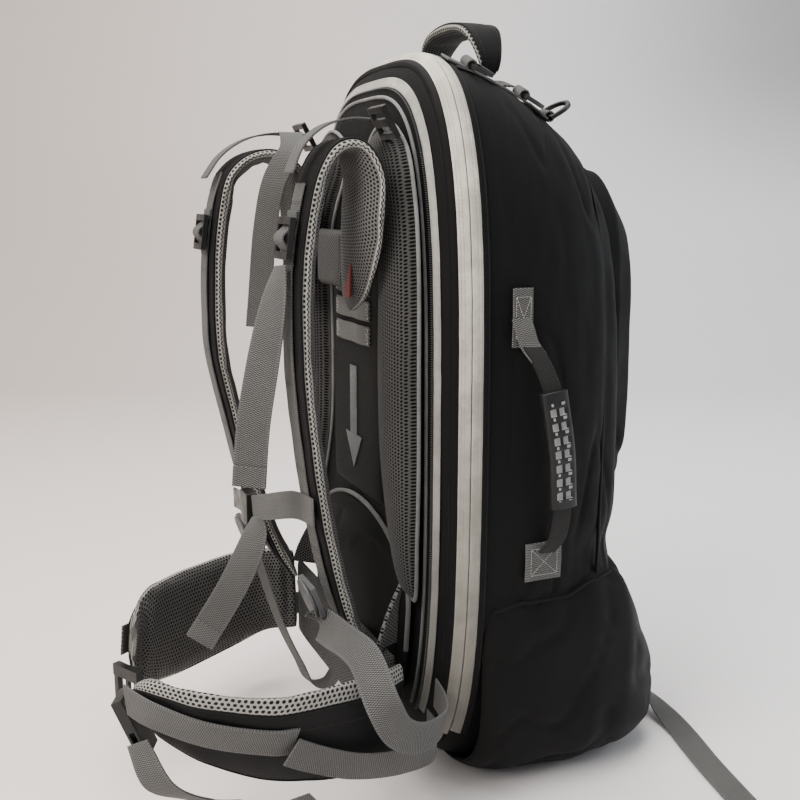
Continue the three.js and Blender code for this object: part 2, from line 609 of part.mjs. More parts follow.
function addCompressionStrap() {
  const strap = [
    { at: [60, 132, 78], across: [1, 0, 0], width: WEBBING },
    { at: [60, 133, 50], across: [1, 0, 0], width: WEBBING },
    { at: [64, 148, 30], across: [1, -0.1, 0], width: WEBBING },
    { at: [88, 158, 12], across: [0.7, -0.7, 0], width: WEBBING },
    { at: [128, 156, 3], across: [0.3, -0.95, 0], width: WEBBING },
    { at: [190, 140, 2], across: [0.2, -0.98, 0], width: WEBBING },
    { at: [284, 120, 2], across: [0.2, -0.98, 0], width: WEBBING },
  ];
  addPart('compression_strap', band(strap, WEB_THICK, 18), 'webbing');
}

addFrontTub();
addPockets();
addBackTub();
addPads();
addHarness();
addHarnessWebbing();
addSternumStrap();
addLowerWebbing();
addHipBelt();
addHaulHandle();
addSideHandle();
addLashRings();
addZipSliders();
addCompressionStrap();

export default pack;
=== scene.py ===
"""Looks of a zip-round travel and ski backpack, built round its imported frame.

Metres, with the origin in the middle of the base, +Z up, -Y towards the wearer and +X the wearer's right. Tables of
places along the bag are in millimetres, and mm() or MM turns them into metres.
"""
import math
import bpy
import numpy as np
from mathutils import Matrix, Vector, noise


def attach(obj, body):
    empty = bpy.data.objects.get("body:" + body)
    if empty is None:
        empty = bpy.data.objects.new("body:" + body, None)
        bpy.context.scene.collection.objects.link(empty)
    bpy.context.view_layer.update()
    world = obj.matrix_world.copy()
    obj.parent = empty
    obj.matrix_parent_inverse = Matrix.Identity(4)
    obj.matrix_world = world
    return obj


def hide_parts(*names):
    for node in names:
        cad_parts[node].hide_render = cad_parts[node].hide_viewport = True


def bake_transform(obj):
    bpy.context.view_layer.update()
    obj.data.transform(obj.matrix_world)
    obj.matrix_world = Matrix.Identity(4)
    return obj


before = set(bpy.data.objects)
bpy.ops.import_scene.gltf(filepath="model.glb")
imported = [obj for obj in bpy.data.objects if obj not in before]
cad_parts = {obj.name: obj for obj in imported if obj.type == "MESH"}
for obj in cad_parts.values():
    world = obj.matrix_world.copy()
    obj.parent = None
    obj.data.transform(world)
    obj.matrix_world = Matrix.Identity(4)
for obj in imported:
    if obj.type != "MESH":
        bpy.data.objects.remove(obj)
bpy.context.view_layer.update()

MM = 0.001
ZIP_Y = -0.125          # plane of the main zip
POWER = 3.4             # how square the bag's outline is
WEB = 0.030             # wide webbing
WEB_THIN = 0.0018       # its thickness
STRAP_X = 0.105         # middle of each shoulder strap
LEFT_REACH = 0.026      # the left strap stands this much further out
BAND_STEP = 0.002       # length of one face along a band
OUTLINE_COUNT = 900     # points round an outline under a sewn strip
FINE_COUNT = 4000       # the same under a row of stitches
COIL_COUNT = 5200       # the same under coil teeth
SKIN_COUNT = 300        # the same round the skin of the bag or a pocket
MESH_PITCH = 0.0031     # hole to hole in the spacer mesh
RIGHT, LEFT = 1, -1
SIDES = ((RIGHT, "right"), (LEFT, "left"))


# ---------------------------------------------------------------- materials
class Shader:
    """A short way to write a node material."""

    def __init__(self, name):
        self.mat = bpy.data.materials.new(name)
        self.mat.use_nodes = True
        self.tree = self.mat.node_tree
        self.bsdf = self.tree.nodes["Principled BSDF"]

    def node(self, kind, inputs=None, **settings):
        n = self.tree.nodes.new(kind)
        for key, value in settings.items():
            setattr(n, key, value)
        for key, value in (inputs or {}).items():
            self.put(n.inputs[key], value)
        return n

    def put(self, socket, value):
        if isinstance(value, bpy.types.NodeSocket):
            self.tree.links.new(value, socket)
        else:
            socket.default_value = value

    def uv(self):
        return self.node("ShaderNodeUVMap").outputs[0]

    def place(self):
        return self.node("ShaderNodeTexCoord").outputs["Object"]

    def math(self, op, a, b=0.0):
        return self.node("ShaderNodeMath", {0: a, 1: b}, operation=op).outputs[0]

    def vector(self, op, a, b=(0, 0, 0)):
        n = self.node("ShaderNodeVectorMath", {0: a, 1: b}, operation=op)
        return n.outputs["Value"] if op == "LENGTH" else n.outputs[0]

    def split(self, v):
        return self.node("ShaderNodeSeparateXYZ", {0: v}).outputs

    def ramp(self, value, low, high, to_low=0.0, to_high=1.0):
        n = self.node("ShaderNodeMapRange", {0: value, 1: low, 2: high, 3: to_low, 4: to_high})
        n.interpolation_type = "SMOOTHSTEP"
        return n.outputs[0]

    def noise(self, scale, vector, detail=2.0, rough=0.5):
        settings = {"Vector": vector, "Scale": scale, "Detail": detail, "Roughness": rough}
        return self.node("ShaderNodeTexNoise", settings).outputs[0]

    def mix(self, factor, a, b):
        n = self.node("ShaderNodeMix", data_type="RGBA")
        self.put(n.inputs[0], factor)
        self.put(n.inputs[6], a)
        self.put(n.inputs[7], b)
        return n.outputs[2]

    def bump(self, height, depth, strength=1.0):
        settings = {"Height": height, "Distance": depth, "Strength": strength}
        return self.node("ShaderNodeBump", settings).outputs[0]

    def waves(self, along, pitch):
        """A sine along a coordinate in metres."""
        return self.math("SINE", self.math("MULTIPLY", along, 2 * math.pi / pitch))

    def finish(self, color, rough, normal=None, sheen=0.0, specular=0.5, metal=0.0):
        self.put(self.bsdf.inputs["Base Color"], color)
        self.put(self.bsdf.inputs["Roughness"], rough)
        self.bsdf.inputs["Sheen Weight"].default_value = sheen
        self.bsdf.inputs["Sheen Roughness"].default_value = 0.4
        self.bsdf.inputs["Specular IOR Level"].default_value = specular
        self.bsdf.inputs["Metallic"].default_value = metal
        if normal is not None:
            self.put(self.bsdf.inputs["Normal"], normal)
        return self.mat


def rgb(r, g=None, b=None):
    return (r, r if g is None else g, r if b is None else b, 1.0)


def tinted(tone, tint):
    return rgb(*(tone * t for t in tint))


def woven_black(name, tone, grid=0.0052):
    """Ripstop nylon: a fine weave, a faint thicker grid, and lint."""
    pitch, sheen = 0.0007, 0.02
    s = Shader(name)
    u, v, _ = s.split(s.uv())
    weave = s.math("MULTIPLY", s.waves(u, pitch), s.waves(v, pitch))
    lines = []
    for axis in (u, v):
        cell = s.math("FRACT", s.math("DIVIDE", axis, grid))
        lines.append(s.ramp(s.math("ABSOLUTE", s.math("SUBTRACT", cell, 0.5)), 0.0, 0.07, 1.0, 0.0))
    rip = s.math("MAXIMUM", lines[0], lines[1])
    cloud = s.noise(9.0, s.place(), 4.0, 0.6)
    lint = s.ramp(s.noise(900.0, s.place(), 2.0), 0.74, 0.80)
    height = s.math("ADD", s.math("MULTIPLY", weave, 0.35), s.math("MULTIPLY", rip, 0.8))
    base = s.mix(cloud, tinted(tone, (0.75, 0.76, 0.84)), tinted(tone, (1.3, 1.28, 1.28)))
    base = s.mix(s.math("MULTIPLY", rip, 0.2), base, rgb(tone * 2.0))
    base = s.mix(s.math("MULTIPLY", lint, 0.2), base, rgb(0.10, 0.098, 0.095))
    rough = s.ramp(cloud, 0.3, 0.7, 0.62, 0.78)
    return s.finish(base, rough, s.bump(height, 0.00012, 0.6), sheen, 0.12)


def hex_distance(s, uv, pitch):
    """Distance, in pitches, from the nearest point of a hexagonal lattice."""
    tall = math.sqrt(3)
    p = s.vector("MULTIPLY", uv, (1 / pitch, 1 / (pitch * tall), 0))
    reach = []
    for shift in (0.0, 0.5):
        moved = s.vector("ADD", p, (shift, shift, 0.5))
        cell = s.vector("SUBTRACT", s.vector("FRACTION", moved), (0.5, 0.5, 0.5))
        reach.append(s.vector("LENGTH", s.vector("MULTIPLY", cell, (1, tall, 0))))
    return s.math("MINIMUM", reach[0], reach[1])


def spacer_mesh(name, thread, hole, pitch=MESH_PITCH, tint=(1.0, 0.99, 0.96)):
    """Air mesh: round holes on a hexagonal lattice in a knitted thread. thread and hole are their tones."""
    open_size, knit_pitch = 0.30, 0.0009
    s = Shader(name)
    uv = s.uv()
    wobble = s.vector("SCALE", s.vector("SUBTRACT", s.node(
        "ShaderNodeTexNoise", {"Vector": uv, "Scale": 160.0}).outputs[1], (0.5, 0.5, 0.5)))
    wobble.node.inputs["Scale"].default_value = pitch * 0.35
    d = hex_distance(s, s.vector("ADD", uv, wobble), pitch)
    solid = s.ramp(d, open_size - 0.05, open_size + 0.07)
    u, v, _ = s.split(uv)
    knit = s.waves(s.math("ADD", u, v), knit_pitch)
    shade = s.noise(14.0, s.place(), 3.0)
    lit = s.mix(shade, tinted(thread * 0.7, tint), tinted(thread * 1.25, tint))
    lit = s.mix(s.ramp(knit, -1, 1, 0.0, 0.35), lit, rgb(thread * 0.45))
    base = s.mix(solid, rgb(hole), lit)
    height = s.math("ADD", solid, s.math("MULTIPLY", knit, 0.05))
    return s.finish(base, 0.85, s.bump(height, 0.0011, 0.9), 0.06, 0.12)


def webbing_material(name, light, groove_shade):
    """Ribbed webbing: short ribs in staggered columns, painted shade in the grooves between them, a striped edge and a
    little wear.
    """
    rib_pitch, column_pitch, twist_pitch, edge = 0.0019, 0.0021, 0.0026, 0.013
    s = Shader(name)
    u, v, _ = s.split(s.uv())
    column = s.math("FLOOR", s.math("DIVIDE", v, column_pitch))
    stagger = s.math("MULTIPLY", s.math("MODULO", s.math("ABSOLUTE", column), 2.0), 0.5)
    ribs = s.math("ADD", s.math("DIVIDE", u, rib_pitch), stagger)
    rib = s.math("SINE", s.math("MULTIPLY", ribs, 2 * math.pi))
    cell = s.math("FRACT", s.math("DIVIDE", v, column_pitch))
    gap = s.ramp(s.math("ABSOLUTE", s.math("SUBTRACT", cell, 0.5)), 0.36, 0.5)
    height = s.math("SUBTRACT", s.ramp(rib, -0.7, 0.6), s.math("MULTIPLY", gap, 0.55))
    shade = s.noise(22.0, s.place(), 4.0, 0.6)
    tone = s.mix(shade, tinted(light, (0.8, 0.79, 0.76)), tinted(light, (1.2, 1.19, 1.15)))
    # painted shade: the low parts between the ribs and columns take the dark tone
    base = s.mix(s.ramp(height, -0.2, 0.9), rgb(groove_shade), tone)
    rim = s.ramp(s.math("ABSOLUTE", v), edge - 0.0012, edge + 0.0004)
    twist = s.ramp(s.waves(u, twist_pitch), -0.2, 0.3)
    base = s.mix(rim, base, s.mix(twist, rgb(light * 0.5), rgb(light * 0.85)))
    return s.finish(base, 0.74, s.bump(height, 0.0005, 0.85), 0.05, 0.2)


def tape_material(name, tone, tint=(1.0, 0.97, 0.89)):
    """Woven zip tape: a fine twill with slight soiling, and painted shade that makes it darker towards the ground."""
    twill_pitch, slant, shaded_below = 0.0009, 0.8, 0.70
    s = Shader(name)
    u, v, _ = s.split(s.uv())
    twill = s.waves(s.math("ADD", u, s.math("MULTIPLY", v, slant)), twill_pitch)
    soil = s.noise(30.0, s.place(), 5.0, 0.65)
    clean, dirty, shaded_low = (tinted(tone * share, tint) for share in (1.0, 0.62, 0.18))
    base = s.mix(s.ramp(soil, 0.35, 0.7), dirty, clean)
    base = s.mix(s.ramp(twill, -1, 1, 0.0, 0.22), base, dirty)
    # painted shade: the colour darkens towards the ground, up to a set height above it
    height = s.split(s.place())[2]
    base = s.mix(s.ramp(height, 0.0, shaded_below, 0.95, 0.0), base, shaded_low)
    return s.finish(base, 0.82, s.bump(twill, 0.00012, 0.7), 0.15, 0.25)


def plastic_material(name, tone, rough=0.5):
    """Moulded acetal: fine grain, slightly duller in patches."""
    s = Shader(name)
    grain = s.noise(2600.0, s.place(), 2.0)
    patch = s.noise(60.0, s.place(), 3.0)
    base = s.mix(patch, tinted(tone, (0.85, 0.86, 0.9)), rgb(tone * 1.2))
    roughness = s.ramp(patch, 0.3, 0.7, rough - 0.07, rough + 0.12)
    return s.finish(base, roughness, s.bump(grain, 0.00005, 0.5), 0.0, 0.35)


def knit_material(name, tone, sheen):
    """Smooth brushed knit of the lumbar pad and linings."""
    loop_length, row_pitch = 0.0011, 0.0008
    s = Shader(name)
    u, v, _ = s.split(s.uv())
    rows = s.math("MULTIPLY", s.waves(u, loop_length), s.waves(v, row_pitch))
    nap = s.noise(700.0, s.place(), 3.0)
    cloud = s.noise(16.0, s.place(), 3.0)
    base = s.mix(cloud, rgb(tone * 0.8), rgb(tone * 1.25))
    height = s.math("ADD", s.math("MULTIPLY", rows, 0.5), nap)
    return s.finish(base, 0.8, s.bump(height, 0.00018, 0.6), sheen, 0.12)


def thread_material(name, tone):
    s = Shader(name)
    twist = s.noise(1800.0, s.place(), 2.0)
    base = s.mix(twist, tinted(tone, (0.7, 0.69, 0.66)), tinted(tone, (1.15, 1.13, 1.06)))
    return s.finish(base, 0.7, s.bump(twist, 0.0001, 0.5), 0.2, 0.3)


def metal_material(name, tone):
    s = Shader(name)
    brushed = s.noise(800.0, s.vector("MULTIPLY", s.place(), (1, 1, 0.03)), 3.0)
    base = s.mix(brushed, rgb(tone * 0.85), rgb(tone * 1.05))
    roughness = s.ramp(brushed, 0.3, 0.7, 0.25, 0.4)
    return s.finish(base, roughness, s.bump(brushed, 0.00004, 0.4), 0.0, 0.5, metal=1.0)


M = {
    "shell": woven_black("black_ripstop", 0.0036),
    "harness": woven_black("black_harness_cloth", 0.0055, grid=0.0034),
    "lining": knit_material("charcoal_lining", 0.014, 0.05),
    "lumbar": knit_material("lumbar_knit", 0.0060, 0.04),
    "mesh": spacer_mesh("spacer_mesh_grey", 0.13, 0.004),
    "mesh_dark": spacer_mesh("spacer_mesh_dark", 0.060, 0.0015),
    "mesh_light": spacer_mesh("spacer_mesh_light", 0.34, 0.012, 0.0044, (1.0, 0.97, 0.89)),
    "mesh_wing": spacer_mesh("spacer_mesh_wing", 0.10, 0.002, 0.0044),
    "web": webbing_material("grey_webbing", 0.150, 0.016),
    "web_black": webbing_material("black_webbing", 0.018, 0.006),
    "tape": tape_material("off_white_tape", 0.76, (1.0, 0.95, 0.83)),
    "tape_grey": tape_material("grey_tape", 0.50),
    "coil": thread_material("zip_coil", 0.24),
    "thread": thread_material("light_thread", 0.50),
    "thread_dark": thread_material("dark_thread", 0.02),
    "plastic": plastic_material("black_acetal", 0.007, 0.36),
    "plastic_grey": plastic_material("grey_acetal", 0.075),
    "rubber": plastic_material("grip_rubber", 0.005),
    # painted highlight: the pale tone of the grip's slots and studs stands for glints on its black rubber
    "grip_painted_highlight": plastic_material("grip_painted_highlight", 0.24),
    "piping": tape_material("grey_piping", 0.26, (1, 1, 0.98)),
    "patch": tape_material("reflective_patch", 0.16, (0.93, 1.0, 0.98)),
    "tag_red": tape_material("woven_tag_red", 0.30, (1.0, 0.10, 0.09)),
    "board": plastic_material("frame_sheet_plastic", 0.05),
    "alloy": metal_material("brushed_alloy", 0.62),
}
SLOT_KINDS = {
    "shell_fabric": ("shell", "harness"),
    "lining_fabric": ("lining", "lumbar", "patch"),
    "air_mesh": ("mesh", "mesh_dark", "mesh_light", "mesh_wing"),
    "webbing": ("web", "web_black", "thread", "thread_dark", "tag_red"),
    "zip_tape": ("tape", "tape_grey", "coil", "piping"),
    "plastic": ("plastic", "plastic_grey"),
    "rubber": ("rubber", "grip_painted_highlight"),
    "board": ("board",),
    "alloy": ("alloy",),
}
SLOTS = {key: kind for kind, keys in SLOT_KINDS.items() for key in keys}


# ---------------------------------------------------------------- mesh helpers
def v3(*p):
    return np.array(p, float)


def unit(a):
    return a / np.maximum(np.linalg.norm(a, axis=-1, keepdims=True), 1e-12)


def run_length(points):
    """Distance along a line of points, at each of them."""
    return np.concatenate([[0], np.cumsum(np.linalg.norm(np.diff(points, axis=0), axis=1))])


def carried(at, run, values):
    """Values along a line, read at other distances."""
    return np.stack([np.interp(at, run, values[:, k]) for k in range(values.shape[1])], 1)


def make_object(name, verts, faces, mats, face_mats=None, uvs=None):
    mesh = bpy.data.meshes.new(name)
    mesh.from_pydata([tuple(v) for v in verts], [], [tuple(f) for f in faces])
    for key in mats:
        mesh.materials.append(M[key])
    if face_mats is not None:
        mesh.polygons.foreach_set("material_index", np.asarray(face_mats, np.int32))
    if uvs is not None:
        layer = mesh.uv_layers.new(name="UVMap")
        layer.data.foreach_set("uv", np.asarray(uvs, np.float32).ravel())
    mesh.polygons.foreach_set("use_smooth", [True] * len(mesh.polygons))
    mesh.validate()
    mesh.update()
    obj = bpy.data.objects.new(name, mesh)
    bpy.context.scene.collection.objects.link(obj)
    return obj


def grid_object(name, points, uv, mats, wrap=False, caps=False, pick=None):
    """A surface through rows of points. wrap closes each row on itself, caps closes the first and last row.
    pick(row, column) gives the material of a face."""
    rows, cols = points.shape[:2]
    across = cols if wrap else cols - 1
    r, c = np.meshgrid(np.arange(rows - 1), np.arange(across), indexing="ij")
    d = (c + 1) % cols
    corners = [r * cols + c, r * cols + d, (r + 1) * cols + d, (r + 1) * cols + c]
    faces = np.stack(corners, -1).reshape(-1, 4)
    corner = [uv[r, c], uv[r, c + 1], uv[r + 1, c + 1], uv[r + 1, c]]
    uvs = np.stack(corner, 2).reshape(-1, 2)
    face_mats = [pick(i, j) for i in range(rows - 1) for j in range(across)] if pick else None
    verts, faces, uvs = points.reshape(-1, 3), faces.tolist(), uvs.tolist()
    if caps:
        first = list(range(cols))
        last = list(range((rows - 1) * cols, rows * cols))
        faces += [first[::-1], last]
        uvs += [uv[0, k].tolist() for k in first[::-1]] + [uv[-1, k].tolist() for k in range(cols)]
        if face_mats is not None:
            face_mats += [pick(0, 0), pick(rows - 2, 0)]
    return make_object(name, verts, faces, mats, face_mats, uvs)


def smooth_curve(points, count, extra=None):
    """Points evenly spaced along a centripetal Catmull-Rom curve, with other values carried along."""
    p = np.asarray(points, float)
    q = p if extra is None else np.concatenate([p, np.asarray(extra, float)], 1)
    ends = np.concatenate([[2 * q[0] - q[1]], q, [2 * q[-1] - q[-2]]])
    dense = []
    for i in range(1, len(ends) - 2):
        a, b, c, d = ends[i - 1:i + 3]
        knots = [0.0]
        for m, n in ((a, b), (b, c), (c, d)):
            knots.append(knots[-1] + max(np.linalg.norm((n - m)[:3]) ** 0.5, 1e-6))
        for t in np.linspace(knots[1], knots[2], 24, endpoint=False):
            mix = lambda m, n, k0, k1: m * (k1 - t) / (k1 - k0) + n * (t - k0) / (k1 - k0)
            ab, bc, cd = mix(a, b, *knots[0:2]), mix(b, c, *knots[1:3]), mix(c, d, *knots[2:4])
            early, late = mix(ab, bc, knots[0], knots[2]), mix(bc, cd, knots[1], knots[3])
            dense.append(mix(early, late, knots[1], knots[2]))
    dense = np.array(dense + [ends[-2]])
    run = run_length(dense[:, :3])
    at = np.linspace(0, run[-1], count)
    out = carried(at, run, dense)
    return out[:, :3], out[:, 3:], at


def square_to(directions, line):
    """Directions turned square to a line's own, and of length one."""
    return unit(directions - (directions * line).sum(1, keepdims=True) * line)


def band_frame(stops, step=BAND_STEP):
    """Middle line, direction across, direction out and width along a band. Each stop is (point, across, width)."""
    fewest = 8
    pts = np.array([s[0] for s in stops], float)
    length = np.linalg.norm(np.diff(pts, axis=0), axis=1).sum()
    extra = np.array([list(unit(np.array(s[1], float))) + [s[2]] for s in stops])
    middle, along, run = smooth_curve(pts, max(fewest, int(length / step) + 1), extra)
    tangent = unit(np.gradient(middle, axis=0))
    across = square_to(along[:, :3], tangent)
    return middle, across, unit(np.cross(tangent, across)), along[:, 3], run


def ribbon_section(thick, width):
    """Half section points of a woven band as (share across, height): rolled edges and a flat middle."""
    flat = np.linspace(-1, 1, 9)
    r = thick * 0.62
    inner = 1 - 2 * r / width
    top = [(x * inner, thick / 2) for x in flat]
    turn = [math.pi / 2 - k * math.pi / 5 for k in range(1, 5)]
    right = [(inner + (1 - inner) * math.cos(a), r * math.sin(a)) for a in turn]
    bottom = [(-x * inner, -thick / 2) for x in flat]
    left = [(-inner - (1 - inner) * math.cos(a), -r * math.sin(a)) for a in turn]
    return np.array(top + right + bottom + left)


def ribbon(name, stops, mat="web", thick=WEB_THIN, step=BAND_STEP, ripple=0.0):
    """A band of webbing along its stops, with its texture in metres."""
    middle, across, out, width, run = band_frame(stops, step)
    section = ribbon_section(thick, width.mean())
    side = section[:, 0][None, :, None] * across[:, None] * width[:, None, None] / 2
    if ripple:
        swing = np.array([noise.noise(Vector((u * 28.0, len(name) * 3.1, 0.5))) for u in run])
        middle = middle + out * swing[:, None] * ripple
    points = middle[:, None] + side + out[:, None] * section[:, 1][None, :, None]
    shares = np.append(section[:, 0], section[0, 0])
    uv = np.stack(np.broadcast_arrays(run[:, None], shares[None] * width[:, None] / 2), -1)
    return grid_object(name, points, uv, [mat], wrap=True, caps=True)


def settle(obj, body, mat, replaces=()):
    """Puts a finished piece on its body, for the CAD nodes it replaces."""
    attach(obj, body)
    if replaces:
        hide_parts(*replaces)
    return obj


def join(objs, name):
    """One object from several, keeping their materials."""
    bpy.ops.object.select_all(action="DESELECT")
    for o in objs:
        o.select_set(True)
    bpy.context.view_layer.objects.active = objs[0]
    if len(objs) > 1:
        bpy.ops.object.join()
    objs[0].name = name
    objs[0].data.name = name
    return objs[0]


def modify(obj, kind, **settings):
    """Adds a modifier and applies it."""
    mod = obj.modifiers.new(kind, kind)
    for key, value in settings.items():
        setattr(mod, key, value)
    bpy.context.view_layer.objects.active = obj
    bpy.ops.object.modifier_apply(modifier=mod.name)
    return obj


def plate(name, outline, holes, depth, mat, bevel=0.0008):
    """A flat moulding in its own XY plane from an outline and holes, with soft edges."""
    curve = bpy.data.curves.new(name, "CURVE")
    curve.dimensions = "2D"
    curve.fill_mode = "BOTH"
    curve.extrude = depth / 2 - bevel
    curve.bevel_depth = bevel
    curve.bevel_resolution = 2
    for loop in [outline] + holes:
        spline = curve.splines.new("POLY")
        spline.points.add(len(loop) - 1)
        for point, (x, y) in zip(spline.points, loop):
            point.co = (x, y, 0, 1)
        spline.use_cyclic_u = True
    obj = bpy.data.objects.new(name, curve)
    bpy.context.scene.collection.objects.link(obj)
    bpy.context.view_layer.update()
    mesh = bpy.data.meshes.new_from_object(obj.evaluated_get(bpy.context.evaluated_depsgraph_get()))
    bpy.data.objects.remove(obj)
    mesh.materials.clear()
    mesh.materials.append(M[mat])
    obj = bpy.data.objects.new(name, mesh)
    bpy.context.scene.collection.objects.link(obj)
    modify(obj, "WELD", merge_threshold=0.00002)
    obj.data.polygons.foreach_set("use_smooth", [False] * len(obj.data.polygons))
    return obj


def rounded(w, h, r, y=0.0):
    """A rounded rectangle, moved up by y."""
    steps = 4
    out = []
    for cx, cy, start in ((1, 1, 0), (-1, 1, 90), (-1, -1, 180), (1, -1, 270)):
        for k in range(steps + 1):
            a = math.radians(start + 90 * k / steps)
            out.append((cx * (w / 2 - r) + r * math.cos(a), y + cy * (h / 2 - r) + r * math.sin(a)))
    return out


def orient(obj, origin, x_axis, y_axis):
    """Puts a piece made round its own origin at a place, with its X and Y along two directions."""
    x = Vector(x_axis).normalized()
    z = x.cross(Vector(y_axis)).normalized()
    y = z.cross(x)
    co = np.empty(len(obj.data.vertices) * 3)
    obj.data.vertices.foreach_get("co", co)
    co = co.reshape(-1, 3) @ np.array([x, y, z]) + np.array(origin)
    obj.data.vertices.foreach_set("co", co.ravel())
    obj.data.update()
    return obj


def bits(name, places, size, mat):
    """Many small rounded bits, such as stitches or coil teeth. Each place is (point, along, out)."""
    shape = np.array([(-1, -.5, -.35), (-1, .5, -.35), (-.8, .35, .5), (-.8, -.35, .5),
                      (1, -.5, -.35), (1, .5, -.35), (.8, .35, .5), (.8, -.35, .5)]) * np.array(size) / 2
    quads = np.array([(0, 1, 2, 3), (4, 7, 6, 5), (0, 4, 5, 1), (3, 2, 6, 7), (1, 5, 6, 2), (0, 3, 7, 4)])
    at, along, out = (np.array(k, float) for k in zip(*places))
    along = unit(along)
    out = square_to(out, along)
    side = np.cross(out, along)
    verts = at[:, None] + shape[None, :, :1] * along[:, None] + shape[None, :, 1:2] * side[:, None] \
        + shape[None, :, 2:] * out[:, None]
    faces = (np.arange(len(at))[:, None, None] * 8 + quads[None]).reshape(-1, 4)
    return make_object(name, verts.reshape(-1, 3), faces, [mat])


def wave(p, scale, seed=0.0):
    """Smooth noise, -1 to 1, at a point."""
    return noise.noise(Vector((p[0] * scale[0] + seed, p[1] * scale[1] - seed, p[2] * scale[2] + 0.37 * seed)))


# ---------------------------------------------------------------- the bag's outline
# Depth y, half width, lowest and highest of each section, in millimetres.
FRONT_TUB = ((-125, 170, 14, 700), (-95, 172, -3, 694), (-60, 172, -4, 680), (-20, 171, -7, 660),
             (15, 164, -7, 634), (40, 150, -7, 600), (56, 130, 2, 560), (62, 108, 18, 520))
BACK_TUB = ((-125.3, 170, 14, 700), (-140, 162, 22, 690), (-151, 149, 36, 670), (-159, 132, 54, 650),
            (-163, 112, 76, 628))


def outline(section, count):
    """Evenly spaced points (x, z) of a section's outline and their outward directions, from +X over the top."""
    _, half, low, high = (k * MM for k in section)
    a = np.linspace(0, 2 * np.pi, 1441)
    reach = lambda v: np.sign(v) * np.abs(v) ** (2 / POWER)
    x = half * reach(np.cos(a))
    z = (low + high) / 2 + (high - low) / 2 * reach(np.sin(a))
    run = np.concatenate([[0], np.cumsum(np.hypot(np.diff(x), np.diff(z)))])
    at = np.linspace(0, run[-1], count + 1)[:-1]
    p = np.stack([np.interp(at, run, x), np.interp(at, run, z)], 1)
    t = unit(np.roll(p, -1, 0) - np.roll(p, 1, 0))
    return p, np.stack([t[:, 1], -t[:, 0]], 1)


def section_at(table, y):
    """A section of a tub at any depth, between those of its table."""
    ys = np.array([s[0] for s in table], float)
    order = np.argsort(ys)
    return (y, *(np.interp(y, ys[order], np.array([s[k] for s in table], float)[order]) for k in (1, 2, 3)))


def top_height(x, y):
    """Height of the bag's top, in millimetres."""
    _, a, lo, hi = section_at(FRONT_TUB, y)
    return (lo + hi) / 2 + (hi - lo) / 2 * (1 - abs(x / a) ** POWER) ** (1 / POWER)


def tub(name, table, depths, body, folds, replaces, cap_rise=0.006):
    """The soft skin of a tub: rings from its mouth to its deepest section, then a crowned end, with fabric folds."""
    cap_steps, wall, lowest = 14, 0.0025, 0.0004
    count = SKIN_COUNT
    rings = []
    for y in depths:
        p, _ = outline(section_at(table, y), count)
        rings.append(np.stack([p[:, 0], np.full(count, y * MM), p[:, 1]], 1))
    last = rings[-1]
    centre = last.mean(0)
    outward = np.sign(depths[-1] - depths[0])
    for k in range(1, cap_steps + 1):
        share = 1 - (k / (cap_steps + 0.4)) ** 0.85
        ring = centre + (last - centre) * share
        ring[:, 1] = last[:, 1] + outward * cap_rise * (1 - share ** 2)
        rings.append(ring)
    points = np.array(rings)
    run = np.concatenate([[0], np.cumsum(np.linalg.norm(np.diff(points, axis=0), axis=2).mean(1))])
    perimeter = np.linalg.norm(np.roll(rings[0], -1, 0) - rings[0], axis=1).sum()
    uv = np.stack(np.meshgrid(run, np.linspace(0, perimeter, count + 1), indexing="ij"), -1)
    normal = unit(np.cross(np.roll(points, -1, 1) - np.roll(points, 1, 1), np.gradient(points, axis=0)))
    side = points.reshape(-1, 3)[:, 0].argmax()
    if normal.reshape(-1, 3)[side, 0] < 0:
        normal = -normal
    lift = np.array([[folds(points[i, j]) for j in range(count)] for i in range(len(points))])
    points = points + normal * lift[:, :, None]
    points[:, :, 2] = np.maximum(points[:, :, 2], lowest)
    obj = grid_object(name, points, uv, ["shell", "lining"], wrap=True)
    face_out(obj)
    modify(obj, "SUBSURF", levels=1)
    modify(obj, "SOLIDIFY", thickness=wall, offset=-1.0, material_offset=1, use_even_offset=False)
    return settle(obj, body, "shell", replaces)


def face_out(obj):
    """Turns the faces so that the one furthest to +X faces +X."""
    faces = obj.data.polygons
    outermost = max(faces, key=lambda f: f.center.x)
    if outermost.normal.x < 0:
        obj.data.flip_normals()


def step_up(value, low, high):
    t = min(1.0, max(0.0, (value - low) / (high - low)))
    return t * t * (3 - 2 * t)


def bell(value, middle, width):
    return math.exp(-((value - middle) / width) ** 2)


# ---------------------------------------------------------------- sewing and padding
def kept_order(table, y, lowest, count):
    """Indices of an outline's points from +X low, over the top, to -X low."""
    z = outline(section_at(table, y), count)[0][:, 1]
    keep = np.where(z >= lowest * MM)[0]
    breaks = np.where(np.diff(keep) > 1)[0]
    return np.roll(keep, -(breaks[0] + 1)) if len(breaks) else keep


def outline_points(table, y, proud, order, count):
    """Points and outward directions round a tub at a depth, standing proud of it."""
    p, n = outline(section_at(table, y), count)
    q = p[order] + n[order] * proud * MM
    points = np.stack([q[:, 0], np.full(len(q), y * MM), q[:, 1]], 1)
    return points, np.stack([n[order][:, 0], np.zeros(len(q)), n[order][:, 1]], 1)


